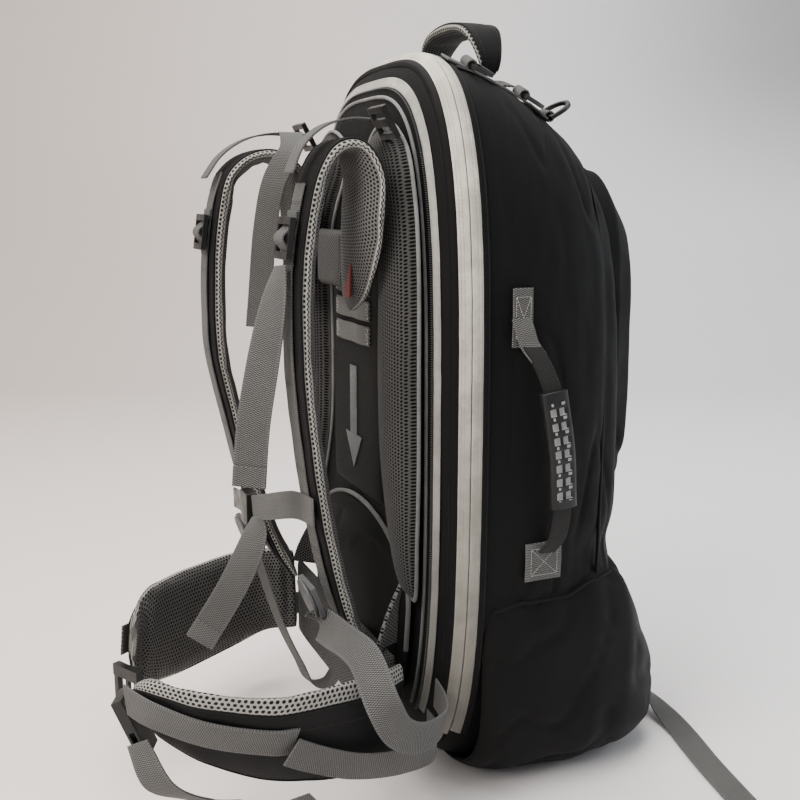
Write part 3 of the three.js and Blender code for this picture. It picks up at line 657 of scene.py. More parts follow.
def outline_strip(name, table, y0, y1, proud, lowest, body, mat, thick=1.2, crown=0.5, cols=7, replaces=()):
    """A strip sewn round the bag between two depths, in millimetres, wandering a little from side to side."""
    count, wander = OUTLINE_COUNT, 0.24
    order = kept_order(table, (y0 + y1) / 2, lowest, count)
    ys = np.linspace(y0, y1, cols)
    t = np.linspace(-1, 1, cols)
    upper = [outline_points(table, y, proud + crown * (1 - k ** 4), order, count)[0] for y, k in zip(ys, t)]
    lower = [outline_points(table, y, proud - thick, order, count)[0] for y in ys[::-1]]
    points = np.stack(upper + lower, 1)
    ripple = np.array([wave(q, (60, 60, 60), 1.7) for q in points[:, 0]])
    points[:, :, 1] += (ripple * wander * MM)[:, None]
    v = np.concatenate([ys, ys[::-1], ys[:1]]) * MM - (y0 + y1) / 2 * MM
    uv = np.stack(np.meshgrid(run_length(points[:, 0]), v, indexing="ij"), -1)
    obj = grid_object(name, points, uv, [mat], wrap=True, caps=True)
    return settle(obj, body, mat, replaces)


def outline_stitches(name, table, y, proud, lowest, body, mat, thick=0.55):
    """A row of stitches round the bag at one depth, in millimetres."""
    order = kept_order(table, y, lowest, FINE_COUNT)
    points, out = outline_points(table, y, proud, order, FINE_COUNT)
    return settle(stitch_row(name, points, out, mat, thick=thick * MM), body, mat)


def outline_teeth(name, table, y, proud, lowest, body, mat, pitch, size):
    """Coil teeth along the edge of a zip tape. Depth, proud and lowest are in millimetres, pitch and size in metres."""
    first = 0.002
    order = kept_order(table, y, lowest, COIL_COUNT)
    points, out = outline_points(table, y, proud, order, COIL_COUNT)
    run = run_length(points)
    at = np.arange(first, run[-1], pitch)
    along = np.tile([0, 1.0, 0], (len(at), 1))
    teeth = bits(name, list(zip(carried(at, run, points), along, carried(at, run, out))), size, mat)
    return settle(teeth, body, "coil")


def stitch_row(name, points, out, mat, pitch=0.0034, length=0.0023, thick=0.0005):
    """Stitches along a line. out is the direction away from the cloth at each of its points."""
    run = run_length(points)
    at = np.arange(pitch / 2, max(run[-1], pitch * 0.6), pitch)
    place, ahead = carried(at, run, points), carried(at + pitch / 4, run, points)
    return bits(name, list(zip(place, ahead - place, carried(at, run, out))), (length, thick, thick), mat)


def tube(name, points, radius, mat):
    """A round cord or piping through points."""
    sides, fewest = 8, 6
    length = np.linalg.norm(np.diff(np.asarray(points, float), axis=0), axis=1).sum()
    middle, _, run = smooth_curve(points, max(fewest, int(length / BAND_STEP)))
    tangent = unit(np.gradient(middle, axis=0))
    side = np.empty_like(middle)
    guide = np.array([0.31, 0.17, 0.94])
    for i, t in enumerate(tangent):
        guide = guide - guide.dot(t) * t
        guide = guide / np.linalg.norm(guide)
        side[i] = guide
    up = np.cross(tangent, side)
    a = np.linspace(0, 2 * math.pi, sides + 1)[:-1]
    spoke = np.cos(a)[None, :, None] * side[:, None] + np.sin(a)[None, :, None] * up[:, None]
    points = middle[:, None] + radius * spoke
    uv = np.stack(np.meshgrid(run, np.append(a, 2 * math.pi) * radius, indexing="ij"), -1)
    return grid_object(name, points, uv, [mat], wrap=True, caps=True)


def vertex_places(mesh):
    co = np.empty(len(mesh.vertices) * 3)
    mesh.vertices.foreach_get("co", co)
    return co.reshape(-1, 3)


def swell(obj, pinned, pressure, cap):
    """Cloth under air pressure: the pinned vertices stay sewn, and no vertex moves further than cap."""
    frames, stiff = 18, 12.0
    if not pressure:
        return obj
    rest = vertex_places(obj.data)
    group = obj.vertex_groups.new(name="sewn")
    group.add([int(k) for k in pinned], 1.0, "REPLACE")
    cloth = obj.modifiers.new("Cloth", "CLOTH")
    s = cloth.settings
    s.quality = 6
    s.mass = 0.15
    s.tension_stiffness = s.compression_stiffness = stiff
    s.bending_stiffness = 0.4
    s.use_pressure = True
    s.uniform_pressure_force = pressure
    s.vertex_group_mass = "sewn"
    s.effector_weights.gravity = 0.0
    cloth.point_cache.frame_end = frames
    scene = bpy.context.scene
    for f in range(1, frames + 1):
        scene.frame_set(f)
    moved = vertex_places(obj.evaluated_get(bpy.context.evaluated_depsgraph_get()).data)
    obj.modifiers.remove(cloth)
    obj.vertex_groups.remove(group)
    shift = moved - rest
    far = np.linalg.norm(shift, axis=1, keepdims=True)
    shift *= np.minimum(1.0, cap / np.maximum(far, 1e-9))
    obj.data.vertices.foreach_set("co", (rest + shift).ravel())
    obj.data.update()
    scene.frame_set(1)
    return obj


def pad_section(cols, square, fat):
    """Closed section of a stuffed band as (share across, share of half thickness), from one edge over the top."""
    a = np.linspace(0, 2 * math.pi, cols + 1)[:-1]
    power = lambda v, n: np.sign(v) * np.abs(v) ** (2 / n)
    return np.stack([power(np.cos(a), square), power(np.sin(a), fat)], 1)


def pad_band(name, stops, thick, body, outer=1, back="mesh", replaces=(), ends=0.35, end_run=0.03, puff=3.0,
             lumps=0.0010, blend=None, roll_at=(0.86, 0.86), tip=0.0):
    """A padded band: cloth on one side, mesh on the other, pale mesh round its edges and a bound seam between them.
    outer, 1 or -1, is the side the cloth is on. The far end is rounded over the length tip."""
    face, roll, cols, blunt = "harness", "mesh_light", 44, 0.45
    middle, across, out, width, run = band_frame(stops, 0.003 if tip else 0.005)
    if tip:
        near_end = np.clip((run[-1] - run) / tip, 0.0, 1.0)
        width = width * (blunt + (1 - blunt) * np.sqrt(1 - (1 - near_end) ** 2))
    section = pad_section(cols, 3.0, 2.2)
    from_end = np.minimum(1.0, np.minimum(run, run[-1] - run) / end_run)
    half = thick / 2 * np.minimum(1.0, ends + (1 - ends) * np.sqrt(from_end))
    lump = np.array([wave(q, (38, 38, 38), 2.3) for q in middle]) * lumps
    points = middle[:, None] + section[None, :, :1] * (across * width[:, None] / 2)[:, None] \
        + out[:, None] * (section[None, :, 1] * (half + lump)[:, None])[:, :, None]
    loop = np.vstack([section, section[:1]]) * [width.mean() / 2, thick / 2]
    uv = np.stack(np.meshgrid(run, run_length(loop), indexing="ij"), -1)
    at = (section + np.roll(section, -1, 0)) / 2 * [1, outer]

    def pick(_, j):
        limit = roll_at[0] if at[j, 0] > 0 else roll_at[1]
        if at[j, 1] > 0 and abs(at[j, 0]) < limit:
            return 0
        return 1 if at[j, 1] < -0.3 else 2

    obj = grid_object(name, points, uv, [face, back, roll], wrap=True, caps=True, pick=pick)
    seam = [j for j in range(cols) if (pick(0, j) == 0) != (pick(0, (j - 1) % cols) == 0)]
    pins = [i * cols + j for i in range(len(run)) for j in seam]
    rows = [k for i in (0, 1, len(run) - 2, len(run) - 1) for k in range(i * cols, (i + 1) * cols)]
    swell(obj, pins + rows, puff, 0.0035)
    grid = vertex_places(obj.data)[:len(run) * cols].reshape(len(run), cols, 3)
    bindings = []
    for k, j in enumerate(seam):
        bindings.append(tube(f"{name}_binding_{k}", grid[1:-1, j], 0.0013, face))
        inner = grid[:, (j + (2 if pick(0, j) == 0 else -3)) % cols]
        lift = unit(inner - grid.mean(1))[1:-1]
        bindings.append(stitch_row(f"{name}_stitch_{k}", inner[1:-1] + lift * 0.0004, lift, "thread_dark"))
    modify(obj, "SUBSURF", levels=1)
    trims = join(bindings, name + "_trim")
    if blend:
        for piece in (obj, trims):
            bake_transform(piece)
        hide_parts(*replaces)
    else:
        settle(obj, body, back, replaces)
        settle(trims, body, face)


def edge_pad(name, left, right, base_y, depth, body, mat, replaces, rows, cols, crown=0.5, square=2.6, puff=2.5):
    """A pad sewn flat to the back between two edges, each a list of (x, z) from low to high, in millimetres."""
    samples, backing = 200, 0.0015
    rows_at = np.linspace(0, 1, rows)
    grids = []
    for edge in (left, right):
        line, _, _ = smooth_curve([(x, 0, z) for x, z in edge], samples)
        grids.append(carried(rows_at, np.linspace(0, 1, samples), line))
    s = np.linspace(0, 1, cols)
    points = grids[0][:, None] * (1 - s)[None, :, None] + grids[1][:, None] * s[None, :, None]
    lateral = (1 - np.abs(2 * s - 1) ** square) ** crown
    lengthwise = (1 - np.abs(2 * rows_at - 1) ** (square * 3)) ** crown
    points[:, :, 1] = base_y - lateral[None] * lengthwise[:, None] * depth
    points = points * MM
    across = np.linalg.norm(grids[1] - grids[0], axis=1).mean() * MM
    tall = np.linalg.norm(np.diff(grids[0], axis=0), axis=1).sum() * MM
    uv = np.stack(np.meshgrid(rows_at * tall, s * across, indexing="ij"), -1)
    obj = grid_object(name, points, uv, [mat])
    border = [i * cols + j for i in range(rows) for j in range(cols)
              if i in (0, rows - 1) or j in (0, cols - 1)]
    swell(obj, border, puff if obj.data.polygons[0].normal.y < 0 else -puff, 0.003)
    modify(obj, "SUBSURF", levels=1)
    if sum(f.normal.y for f in obj.data.polygons) > 0:
        obj.data.flip_normals()
    modify(obj, "SOLIDIFY", thickness=backing, offset=-1.0)
    return settle(obj, body, mat, replaces)


def hem(stops):
    """The folded end of a webbing tail, one thickness above it."""
    length = 0.020
    middle, across, out, width, run = band_frame(stops)
    folded = range(len(run) - int(length / BAND_STEP), len(run))
    return [(middle[i] + out[i] * WEB_THIN * 1.02, across[i], width[i]) for i in folded]


def strap(name, points, body, width=WEB, across=(1, 0, 0), mat="web", blend=None, replaces=(), tail=False, **more):
    """Webbing from a list of points in millimetres. across is one direction or one for each point."""
    each = [across] * len(points) if not hasattr(across[0], "__len__") else across
    stops = [(mm(*p), a, width) for p, a in zip(points, each)]
    piece = ribbon(name, stops, mat, **more)
    if tail:
        piece = join([piece, ribbon(name + "_hem", hem(stops), mat, step=0.001)], name)
    if blend:
        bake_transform(piece)
        if replaces:
            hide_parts(*replaces)
        return piece
    return settle(piece, body, mat, replaces)


def box_stitch(name, centre, along, out, length, width, body, mat="thread", cross=True):
    """A sewn box with a cross in it, in metres."""
    along = unit(np.array(along, float))
    out = square_to(np.array([out], float), along[None])[0]
    side = np.cross(out, along)
    corners = [np.array(centre) + along * a * length / 2 + side * b * width / 2
               for a, b in ((-1, -1), (1, -1), (1, 1), (-1, 1))]
    lines = [(corners[k], corners[(k + 1) % 4]) for k in range(4)]
    if cross:
        lines += [(corners[0], corners[2]), (corners[1], corners[3])]
    rows = [stitch_row(f"{name}_{k}", np.linspace(a, b, 12), np.tile(out, (12, 1)), mat, 0.0030, 0.0021, 0.0006)
            for k, (a, b) in enumerate(lines)]
    return settle(join(rows, name), body, mat)


def mm(*p):
    return tuple(v * MM for v in p)


def dress(node, mat, bevel=0.0007, segments=3):
    """A CAD node keeps its shape and gets soft edges and a finish."""
    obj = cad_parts[node]
    obj.data.materials.clear()
    obj.data.materials.append(M[mat])
    weld = obj.modifiers.new("weld", "WELD")
    weld.merge_threshold = 0.00002
    soft = obj.modifiers.new("bevel", "BEVEL")
    soft.width = bevel
    soft.segments = segments
    soft.limit_method = "ANGLE"
    soft.angle_limit = math.radians(28)
    soft.harden_normals = True
    for poly in obj.data.polygons:
        poly.use_smooth = True
    obj.modifiers.new("normals", "WEIGHTED_NORMAL").keep_sharp = True
    return obj


# ---------------------------------------------------------------- camera, stage and lights
CAMERA_PLACE = Vector((0.9488, -0.5227, 0.5653))
CAMERA_TARGET = Vector((0, -0.120, 0.365))


def add_camera():
    data = bpy.data.cameras.new("camera")
    data.lens = 45.9
    data.sensor_width = 36
    camera = bpy.data.objects.new("camera", data)
    bpy.context.scene.collection.objects.link(camera)
    camera.location = CAMERA_PLACE
    camera.rotation_mode = "QUATERNION"
    camera.rotation_quaternion = (CAMERA_TARGET - CAMERA_PLACE).to_track_quat("-Z", "Y")
    bpy.context.scene.camera = camera


def area_light(name, place, target, size, power, color):
    data = bpy.data.lights.new(name, "AREA")
    data.shape = "RECTANGLE"
    data.size = data.size_y = size
    data.energy = power
    data.color = color
    light = bpy.data.objects.new(name, data)
    bpy.context.scene.collection.objects.link(light)
    light.location = place
    light.rotation_mode = "QUATERNION"
    light.rotation_quaternion = (Vector(target) - Vector(place)).to_track_quat("-Z", "Y")


def add_stage():
    """A pale floor that sweeps up into a wall well behind the bag, and soft light from the upper left."""
    s = Shader("pale_sweep")
    _, lateral, height = s.split(s.place())
    # painted light: the sweep's colour runs from a darker warm tone on the left to a cool one on the right
    warm_to_cool = s.mix(s.ramp(lateral, -1.3, 1.3), rgb(0.80, 0.715, 0.66), rgb(0.93, 0.95, 0.98))
    # painted shade: the upper right corner of the wall is darkened
    corner = s.math("MULTIPLY", s.ramp(lateral, 0.2, 1.5), s.ramp(height, 0.4, 1.15))
    shaded = s.mix(s.math("MULTIPLY", corner, 0.7), warm_to_cool, rgb(0.26, 0.255, 0.25))
    M["sweep"] = s.finish(shaded, 0.42, specular=0.35)
    reach, wall, bend, rows, half_width, top = 4.0, 3.0, 1.0, 14, 5.0, 4.0
    below_bag = 0.0005
    profile = [(reach, 0.0), (0.0, 0.0)]
    for k in range(rows + 1):
        a = math.pi / 2 * k / rows
        profile.append((-(wall - bend) - bend * math.sin(a), bend - bend * math.cos(a)))
    profile.append((-wall, top))
    points = np.array([[(x, y, z - below_bag) for y in (-half_width, half_width)] for x, z in profile])
    uv = np.zeros((len(profile), 2, 2))
    floor = grid_object("floor_sweep", points, uv, ["sweep"])
    facing = CAMERA_PLACE - CAMERA_TARGET
    floor.rotation_euler = (0, 0, math.atan2(facing.y, facing.x))
    world = bpy.data.worlds.new("studio")
    world.use_nodes = True
    background = world.node_tree.nodes["Background"]
    background.inputs[0].default_value = rgb(0.93, 0.95, 1.0)
    background.inputs[1].default_value = 0.34
    bpy.context.scene.world = world
    area_light("key_left", (0.9, -2.1, 2.1), (0, -0.1, 0.3), 1.6, 105, (1.0, 0.94, 0.88))
    area_light("top_soft", (-0.3, -0.3, 2.6), (0, -0.1, 0.3), 2.2, 105, (1.0, 0.975, 0.94))
    area_light("cool_right", (0.8, 2.4, 1.2), (0, 0, 0.3), 1.6, 26, (0.88, 0.94, 1.0))


# ---------------------------------------------------------------- the bag
SEAM_Y = 20             # seam between the side panels and the front panel, in millimetres


def bag_folds(p):
    """How far the filled cloth stands out or sinks, in metres: soft upright creases and drawn-in seams."""
    _, y, z = p
    free = step_up(y, ZIP_Y + 0.012, ZIP_Y + 0.075)
    slow = wave(p, (7, 15, 3.0), 3.1) * 0.0040
    valley = abs(wave(p, (10, 30, 5.0), 8.7))
    crease = -0.0026 * (1 - min(1.0, valley / 0.12)) ** 2
    fine = wave(p, (40, 90, 26), 5.5) * 0.0009 + wave(p, (90, 150, 60), 1.5) * 0.0003
    seam = -0.0030 * bell(y, SEAM_Y * MM, 0.008)
    filled = 0.0050 * bell(y, -0.045, 0.045) * step_up(z, 0.15, 0.35) * step_up(0.66 - z, 0.0, 0.10)
    sag = -0.0060 * bell(z, 0.236, 0.020) * step_up(y, -0.05, 0.03)
    return free * (slow + crease + fine + filled) + seam + sag


def pocket(name, sections, seed, replaces):
    """A filled pocket: a skin over its sections with a crowned face."""
    def folds(p):
        drawn = wave(p, (16, 22, 9), seed) * 0.0030
        valley = abs(wave(p, (13, 20, 11), seed + 4))
        return drawn - 0.0030 * (1 - min(1.0, valley / 0.15)) ** 2 + wave(p, (45, 45, 30), seed + 2) * 0.0008

    depths = np.linspace(sections[0][0], sections[-1][0], 34)
    tub(name, sections, depths, "bag", folds, replaces, cap_rise=0.008)


FRONT_POCKET = ((24, 130, 236, 612), (56, 129, 240, 602), (78, 116, 256, 572), (91, 92, 286, 532))
BASE_POCKET = ((-108, 166, 8, 250), (-98, 174.5, 0, 262), (-70, 176.5, -8, 266), (10, 178, -14, 256),
               (58, 170, -10, 230), (90, 152, -6, 176), (114, 132, 0, 120), (128, 104, 10, 84))


def width_at(table, y, z):
    """Half width of a tub's outline at a depth and a height, in millimetres."""
    _, half, low, high = section_at(table, y)
    share = min(1.0, abs(2 * (z - low) / (high - low) - 1))
    return half * (1 - share ** POWER) ** (1 / POWER)


def pocket_welt(side):
    """The line where the base pocket meets the bag's side, from the zip to the front."""
    proud, lift = 1.0, 1.6
    line = []
    for y in range(-98, 46, 6):
        outside = lambda z: width_at(BASE_POCKET, y, z) > width_at(FRONT_TUB, y, z) + proud
        z = next(filter(outside, range(250, 80, -1)))
        line.append(mm(side * (width_at(FRONT_TUB, y, z) + lift), y, z))
    return line


def add_bag():
    depths = np.concatenate([np.linspace(-124.4, 15, 52), np.linspace(20, 62, 14)])
    tub("bag_shell", FRONT_TUB, depths, "bag", bag_folds,
        ("front_panel", "top_panel", "bottom_panel", "side_panel_right", "side_panel_left"))
    pocket("front_pocket_skin", FRONT_POCKET, 4.2, ("front_pocket",))
    pocket("base_pocket_skin", BASE_POCKET, 9.6, ("bottom_pocket",))
    for side, word in SIDES:
        settle(tube("base_pocket_welt_" + word, pocket_welt(side), 0.0019, "harness"), "bag", "harness")
    # bound seams: front panel to sides, and the welts beside the zip
    outline_strip("front_seam_binding", FRONT_TUB, SEAM_Y - 2, SEAM_Y + 2, -1.2, 205, "bag", "harness", 2.6, 1.2)
    for k, y in enumerate((SEAM_Y - 6, SEAM_Y + 6)):
        outline_stitches(f"front_seam_stitch_{k}", FRONT_TUB, y, -1.6, 220, "bag", "thread_dark", thick=0.7)
    outline_strip("zip_welt_front", FRONT_TUB, -115.0, -107.5, 1.5, 60, "bag", "shell", 2.6, 1.6, 9)
    outline_stitches("zip_welt_front_stitch", FRONT_TUB, -109.5, 3.0, 64, "bag", "thread_dark", thick=0.6)


def add_zips():
    front, back = FRONT_TUB, BACK_TUB
    outline_strip("main_zip_front", front, -124.6, -114.0, 2.1, 62, "bag", "tape", 1.2, 0.5, 11,
                  ("main_zip_tape_front",))
    outline_strip("main_zip_back", back, -125.5, -135.5, 2.1, 62, "back_section", "tape", 1.2, 0.5, 11,
                  ("main_zip_tape_back",))
    for k, y in enumerate((-119.3, -116.2)):
        outline_stitches(f"main_zip_front_stitch_{k}", front, y, 2.75, 66, "bag", "coil")
    for k, y in enumerate((-130.8, -133.4)):
        outline_stitches(f"main_zip_back_stitch_{k}", back, y, 2.75, 66, "back_section", "coil")
    # coil teeth, on the inside of each tape's edge
    tooth = (0.0030, 0.0010, 0.0012)
    outline_teeth("main_coil_front", front, -123.4, 0.6, 64, "bag", "thread_dark", 0.0017, tooth)
    outline_teeth("main_coil_back", back, -126.7, 0.6, 64, "back_section", "thread_dark", 0.0017, tooth)
    outline_strip("zip_welt_back", back, -134.6, -141.0, 1.4, 60, "back_section", "shell", 2.4, 1.4, 9)
    # the harness cover's zip, with its coil on the wearer's side, and the piping beside it
    outline_strip("cover_zip_band", back, -147.2, -151.4, 2.3, 84, "back_section", "tape_grey", 1.2, 0.4, 9,
                  ("cover_zip_tape",))
    outline_stitches("cover_zip_stitch", back, -148.4, 2.9, 86, "back_section", "coil", thick=0.45)
    cover_coil = -152.2
    outline_teeth("cover_zip_coil", back, cover_coil, 2.4, 84, "back_section", "plastic_grey", 0.0020,
                  (0.0030, 0.0012, 0.0014))
    order = kept_order(back, cover_coil, 84, COIL_COUNT)
    points, _ = outline_points(back, -155.0, 1.5, order[::8], COIL_COUNT)
    settle(tube("cover_piping", points, 0.0017, "piping"), "back_section", "piping")
    for node in ("main_zip_slider_upper", "main_zip_slider_lower", "cover_zip_slider"):
        dress(node, "plastic_grey", 0.0012)
    for node in ("main_zip_puller_upper", "main_zip_puller_lower"):
        dress(node, "web_black", 0.0008)


def add_gusset():
    """The cloth hinge below the zip's ends, folded inside the bag when it is closed."""
    count, top, inset = 600, 68, 0.0042
    width, length, cols, rows = 0.012, 0.4, 9, 80
    ring = []
    for y in np.linspace(-131, -119, cols):
        table = FRONT_TUB if y > ZIP_Y / MM else BACK_TUB
        points, out = outline(section_at(table, y), count)
        low = np.where(points[:, 1] < top * MM)[0]
        keep = np.linspace(low[0], low[-1], rows).astype(int)
        inside = points[keep] - out[keep] * inset
        ring.append(np.stack([inside[:, 0], np.full(rows, y * MM), inside[:, 1]], 1))
    points = np.stack(ring, 1)
    uv = np.stack(np.meshgrid(np.linspace(0, length, rows), np.linspace(0, width, cols), indexing="ij"), -1)
    cloth = grid_object("hinge_gusset", points, uv, ["lining"])
    modify(cloth, "SOLIDIFY", thickness=0.0008, offset=0.0)
    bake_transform(cloth)


def back_folds(p):
    return wave(p, (24, 30, 12), 6.1) * 0.0012 * step_up(abs(p[1] - ZIP_Y), 0.004, 0.02)


def add_back():
    depths = np.concatenate([np.linspace(-125.6, -159, 18), np.linspace(-160, -163, 4)])
    tub("back_cover", BACK_TUB, depths, "back_section", back_folds, ("back_shell",), cap_rise=0.0)
    for node, mat in (("frame_sheet", "board"), ("frame_stay_right", "alloy"), ("frame_stay_left", "alloy")):
        dress(node, mat, 0.0006)
    face = -163.3
    inner = [(133, 206), (110, 262), (84, 330), (78, 400), (78, 530), (62, 560), (36, 592), (34, 620)]
    outer = [(140, 206), (145, 262), (148, 330), (148, 400), (146, 520), (138, 570), (120, 612), (76, 636)]
    for side, word in SIDES:
        a, b = [(x * side, z) for x, z in inner], [(x * side, z) for x, z in outer]
        edge_pad("back_mesh_pad_" + word, a, b, face, 21, "back_section", "mesh_dark", ("back_pad_" + word,), 70, 22)
        rim = [mm(x, face - 1.5, z) for x, z in a + b[::-1]]
        settle(tube("back_pad_piping_" + word, rim + rim[:1], 0.0018, "piping"), "back_section", "piping")
    edge_pad("lumbar_cushion", [(-108, 98), (-122, 150), (-125, 214), (-86, 246), (-44, 261)],
             [(108, 98), (122, 150), (125, 214), (86, 246), (44, 261)], face, 24, "back_section", "lumbar",
             ("lumbar_pad",), 46, 60, 0.42)
    half_rim = [(124, 150), (127, 214), (88, 247), (42, 263)]
    rim = [mm(x, face - 3.2, z) for x, z in half_rim + [(0, 267)] + [(-x, z) for x, z in half_rim[::-1]]]
    settle(tube("lumbar_piping", rim, 0.0024, "piping"), "back_section", "piping")
    edge_pad("harness_panel", [(-71, 273), (-71, 330), (-71, 470), (-71, 527)],
             [(71, 273), (71, 330), (71, 470), (71, 527)], face, 6.5, "back_section", "lumbar", ("adjuster_panel",),
             40, 30, 0.35, square=6.0, puff=0)
    wedge = ((121, -168, 218, 6), (121, -175, 196, 20), (121, -180, 172, 34), (120, -182, 158, 40))
    for side, word in SIDES:
        stops = [(mm(side * x, y, z), (side * 0.5, -0.86, 0), width * MM) for x, y, z, width in wedge]
        settle(ribbon("lumbar_mesh_wedge_" + word, stops, "mesh", 0.004), "back_section", "mesh")
    add_ladder(face - 7.0)
    edge_pad("belt_core", [(-145, 67), (-145, 112), (-145, 157)], [(145, 67), (145, 112), (145, 157)], -187.6, 7.2,
             "back_section", "mesh_dark", ("hip_belt_core",), 24, 60, 0.4, square=5.0)


def add_ladder(y):
    """Height ladder in the middle of the back: webbing rungs sewn down at both ends, and a plain woven arrow."""
    for k, z in enumerate((486, 462, 438)):
        rung = [(-46, y - 0.4, z), (-20, y - 2.4, z), (0, y - 0.6, z), (20, y - 2.4, z), (46, y - 0.4, z)]
        strap(f"height_rung_{k}", rung, "back_section", 0.019, (0, 0, 1))
        for side, word in SIDES:
            box_stitch(f"height_rung_stitch_{k}_{word}", mm(side * 40, y - 2.0, z), (1, 0, 0), (0, -1, 0), 0.008,
                       0.014, "back_section")
    shaft, head, foot, tip = 9, 22, 404, 300
    arrow = [(-shaft, foot), (shaft, foot), (shaft, tip + 34), (head, tip + 34), (0, tip), (-head, tip + 34),
             (-shaft, tip + 34)]
    patch = plate("height_arrow_patch", [(x * MM, z * MM) for x, z in arrow], [], 0.0012, "patch", 0.0003)
    orient(patch, mm(0, y - 0.4, 0), (1, 0, 0), (0, 0, 1))
    settle(patch, "back_section", "patch")


# ---------------------------------------------------------------- harness
# Each shoulder strap's side view (y, z) from its root under the yoke, over the top and down to its lower end, with
# the strap's width at each point and how far its first points are drawn in to the middle.
STRAP_LINE = ((-197, 472), (-197, 505), (-197, 550), (-200, 592), (-212, 611), (-229, 609), (-243, 590), (-252, 560),
              (-258, 525), (-261, 480), (-260, 412), (-254, 350), (-243, 275), (-226, 205), (-207, 155))
ROOT_INSET = (50, 26, 8, 0)
STRAP_WIDTHS = (24, 70, 92, 84, 64, 62, 62, 62, 62, 62, 62, 60, 58, 50, 40)
STRAP_THICK = 0.013
OVAL_RADIUS = 0.0185     # of the flat buckle at each strap's lower end


def reach_of(side):
    """How much further out a strap stands, in millimetres."""
    return LEFT_REACH / MM if side == LEFT else 0


def strap_stops(side):
    stops = []
    for i, ((y, z), width) in enumerate(zip(STRAP_LINE, STRAP_WIDTHS)):
        rise = max(0.0, min(1.0, (i - 3) / 3))
        fall = min(1.0, (len(STRAP_LINE) - 1 - i) / 4)
        inset = ROOT_INSET[i] if i < len(ROOT_INSET) else 0
        place = mm(side * (STRAP_X / MM - inset), y - reach_of(side) * rise * fall, z)
        stops.append((place, (1, 0, 0), width * MM))
    return stops


def add_harness():
    for side, word in SIDES:
        stops = strap_stops(side)
        pad_band("shoulder_pad_" + word, stops, STRAP_THICK, "harness", replaces=("shoulder_strap_" + word,),
                 puff=4.0)
        middle, across, out, _, _ = band_frame(stops, 0.004)
        share = lambda k: int(k / (len(STRAP_LINE) - 1) * (len(middle) - 1))
        start, end = share(4.6), share(13.3)
        offset = middle + out * (STRAP_THICK / 2 + 0.0020)
        web = [(offset[i], across[i], 0.025) for i in range(start, end, 6)]
        settle(ribbon("strap_webbing_" + word, web, ripple=0.0006), "harness", "web")
        for k, i in enumerate(range(start + 4, end, (end - start) // 5)):
            box_stitch(f"strap_bartack_{word}_{k}", offset[i] + out[i] * 0.0012, across[i], out[i], 0.020, 0.002,
                       "harness", "thread_dark", cross=False)
        dress("strap_ladder_lock_" + word, "plastic", 0.0012)
        dress("end_ladder_lock_" + word, "plastic_grey", 0.0012)
        dress("lifter_ladder_lock_" + word, "plastic", 0.0012)
        y, z = STRAP_LINE[13]
        y -= 26 + reach_of(side) / 4
        turns = [math.tau * k / 40 for k in range(40)]
        rim = [(OVAL_RADIUS * math.cos(a), OVAL_RADIUS * math.sin(a)) for a in turns]
        slot = rounded(0.020, 0.004, 0.0015, 0.010)
        oval = plate("end_buckle_" + word, rim, [slot], 0.003, "plastic_grey", 0.001)
        orient(oval, mm(side * STRAP_X / MM, y - 4.2, z + 4.4), (1, 0, 0), (0, -0.343, 0.939))
        settle(oval, "harness", "plastic_grey")
    tag = plate("strap_root_tag", rounded(0.026, 0.030, 0.002), [], 0.0014, "tag_red", 0.0004)
    orient(tag, mm(80, -204.6, 496), (1, -0.2, 0), (0.2, 0, 1))
    settle(tag, "harness", "tag_red")
    edge_pad("yoke_panel", [(-39, 485), (-39, 512), (-39, 539)], [(39, 485), (39, 512), (39, 539)], -191.0, 6,
             "harness", "mesh_dark", ("yoke",), 16, 20, 0.35, square=5.0)
    add_harness_webbing()


LIFTER = ((105, -258, 589), (105, -250, 611), (106, -234, 627), (108, -214, 634), (110, -197, 634))
LEFT_TAIL = ((-110, -200, 634.4), (-88, -204, 634), (-64, -212, 618), (-58, -232, 585), (-58, -242, 540),
             (-60, -248, 480), (-60, -252, 440))
LEFT_TAIL_ACROSS = ((.8, .5, 0), (.4, .9, 0), (.3, .9, .2), (.3, .9, .2), (.3, .9, 0), (.3, .9, 0), (.3, .9, 0))
# The webbing through a strap's ladder lock (y, z): behind the frame, out over the centre bar and back in.
LOCK_THREAD = ((-262.9, 558), (-265.0, 549), (-270.0, 542.5), (-275.4, 537.5), (-275.9, 533), (-272.0, 527.5),
               (-268.6, 521), (-268.0, 512))


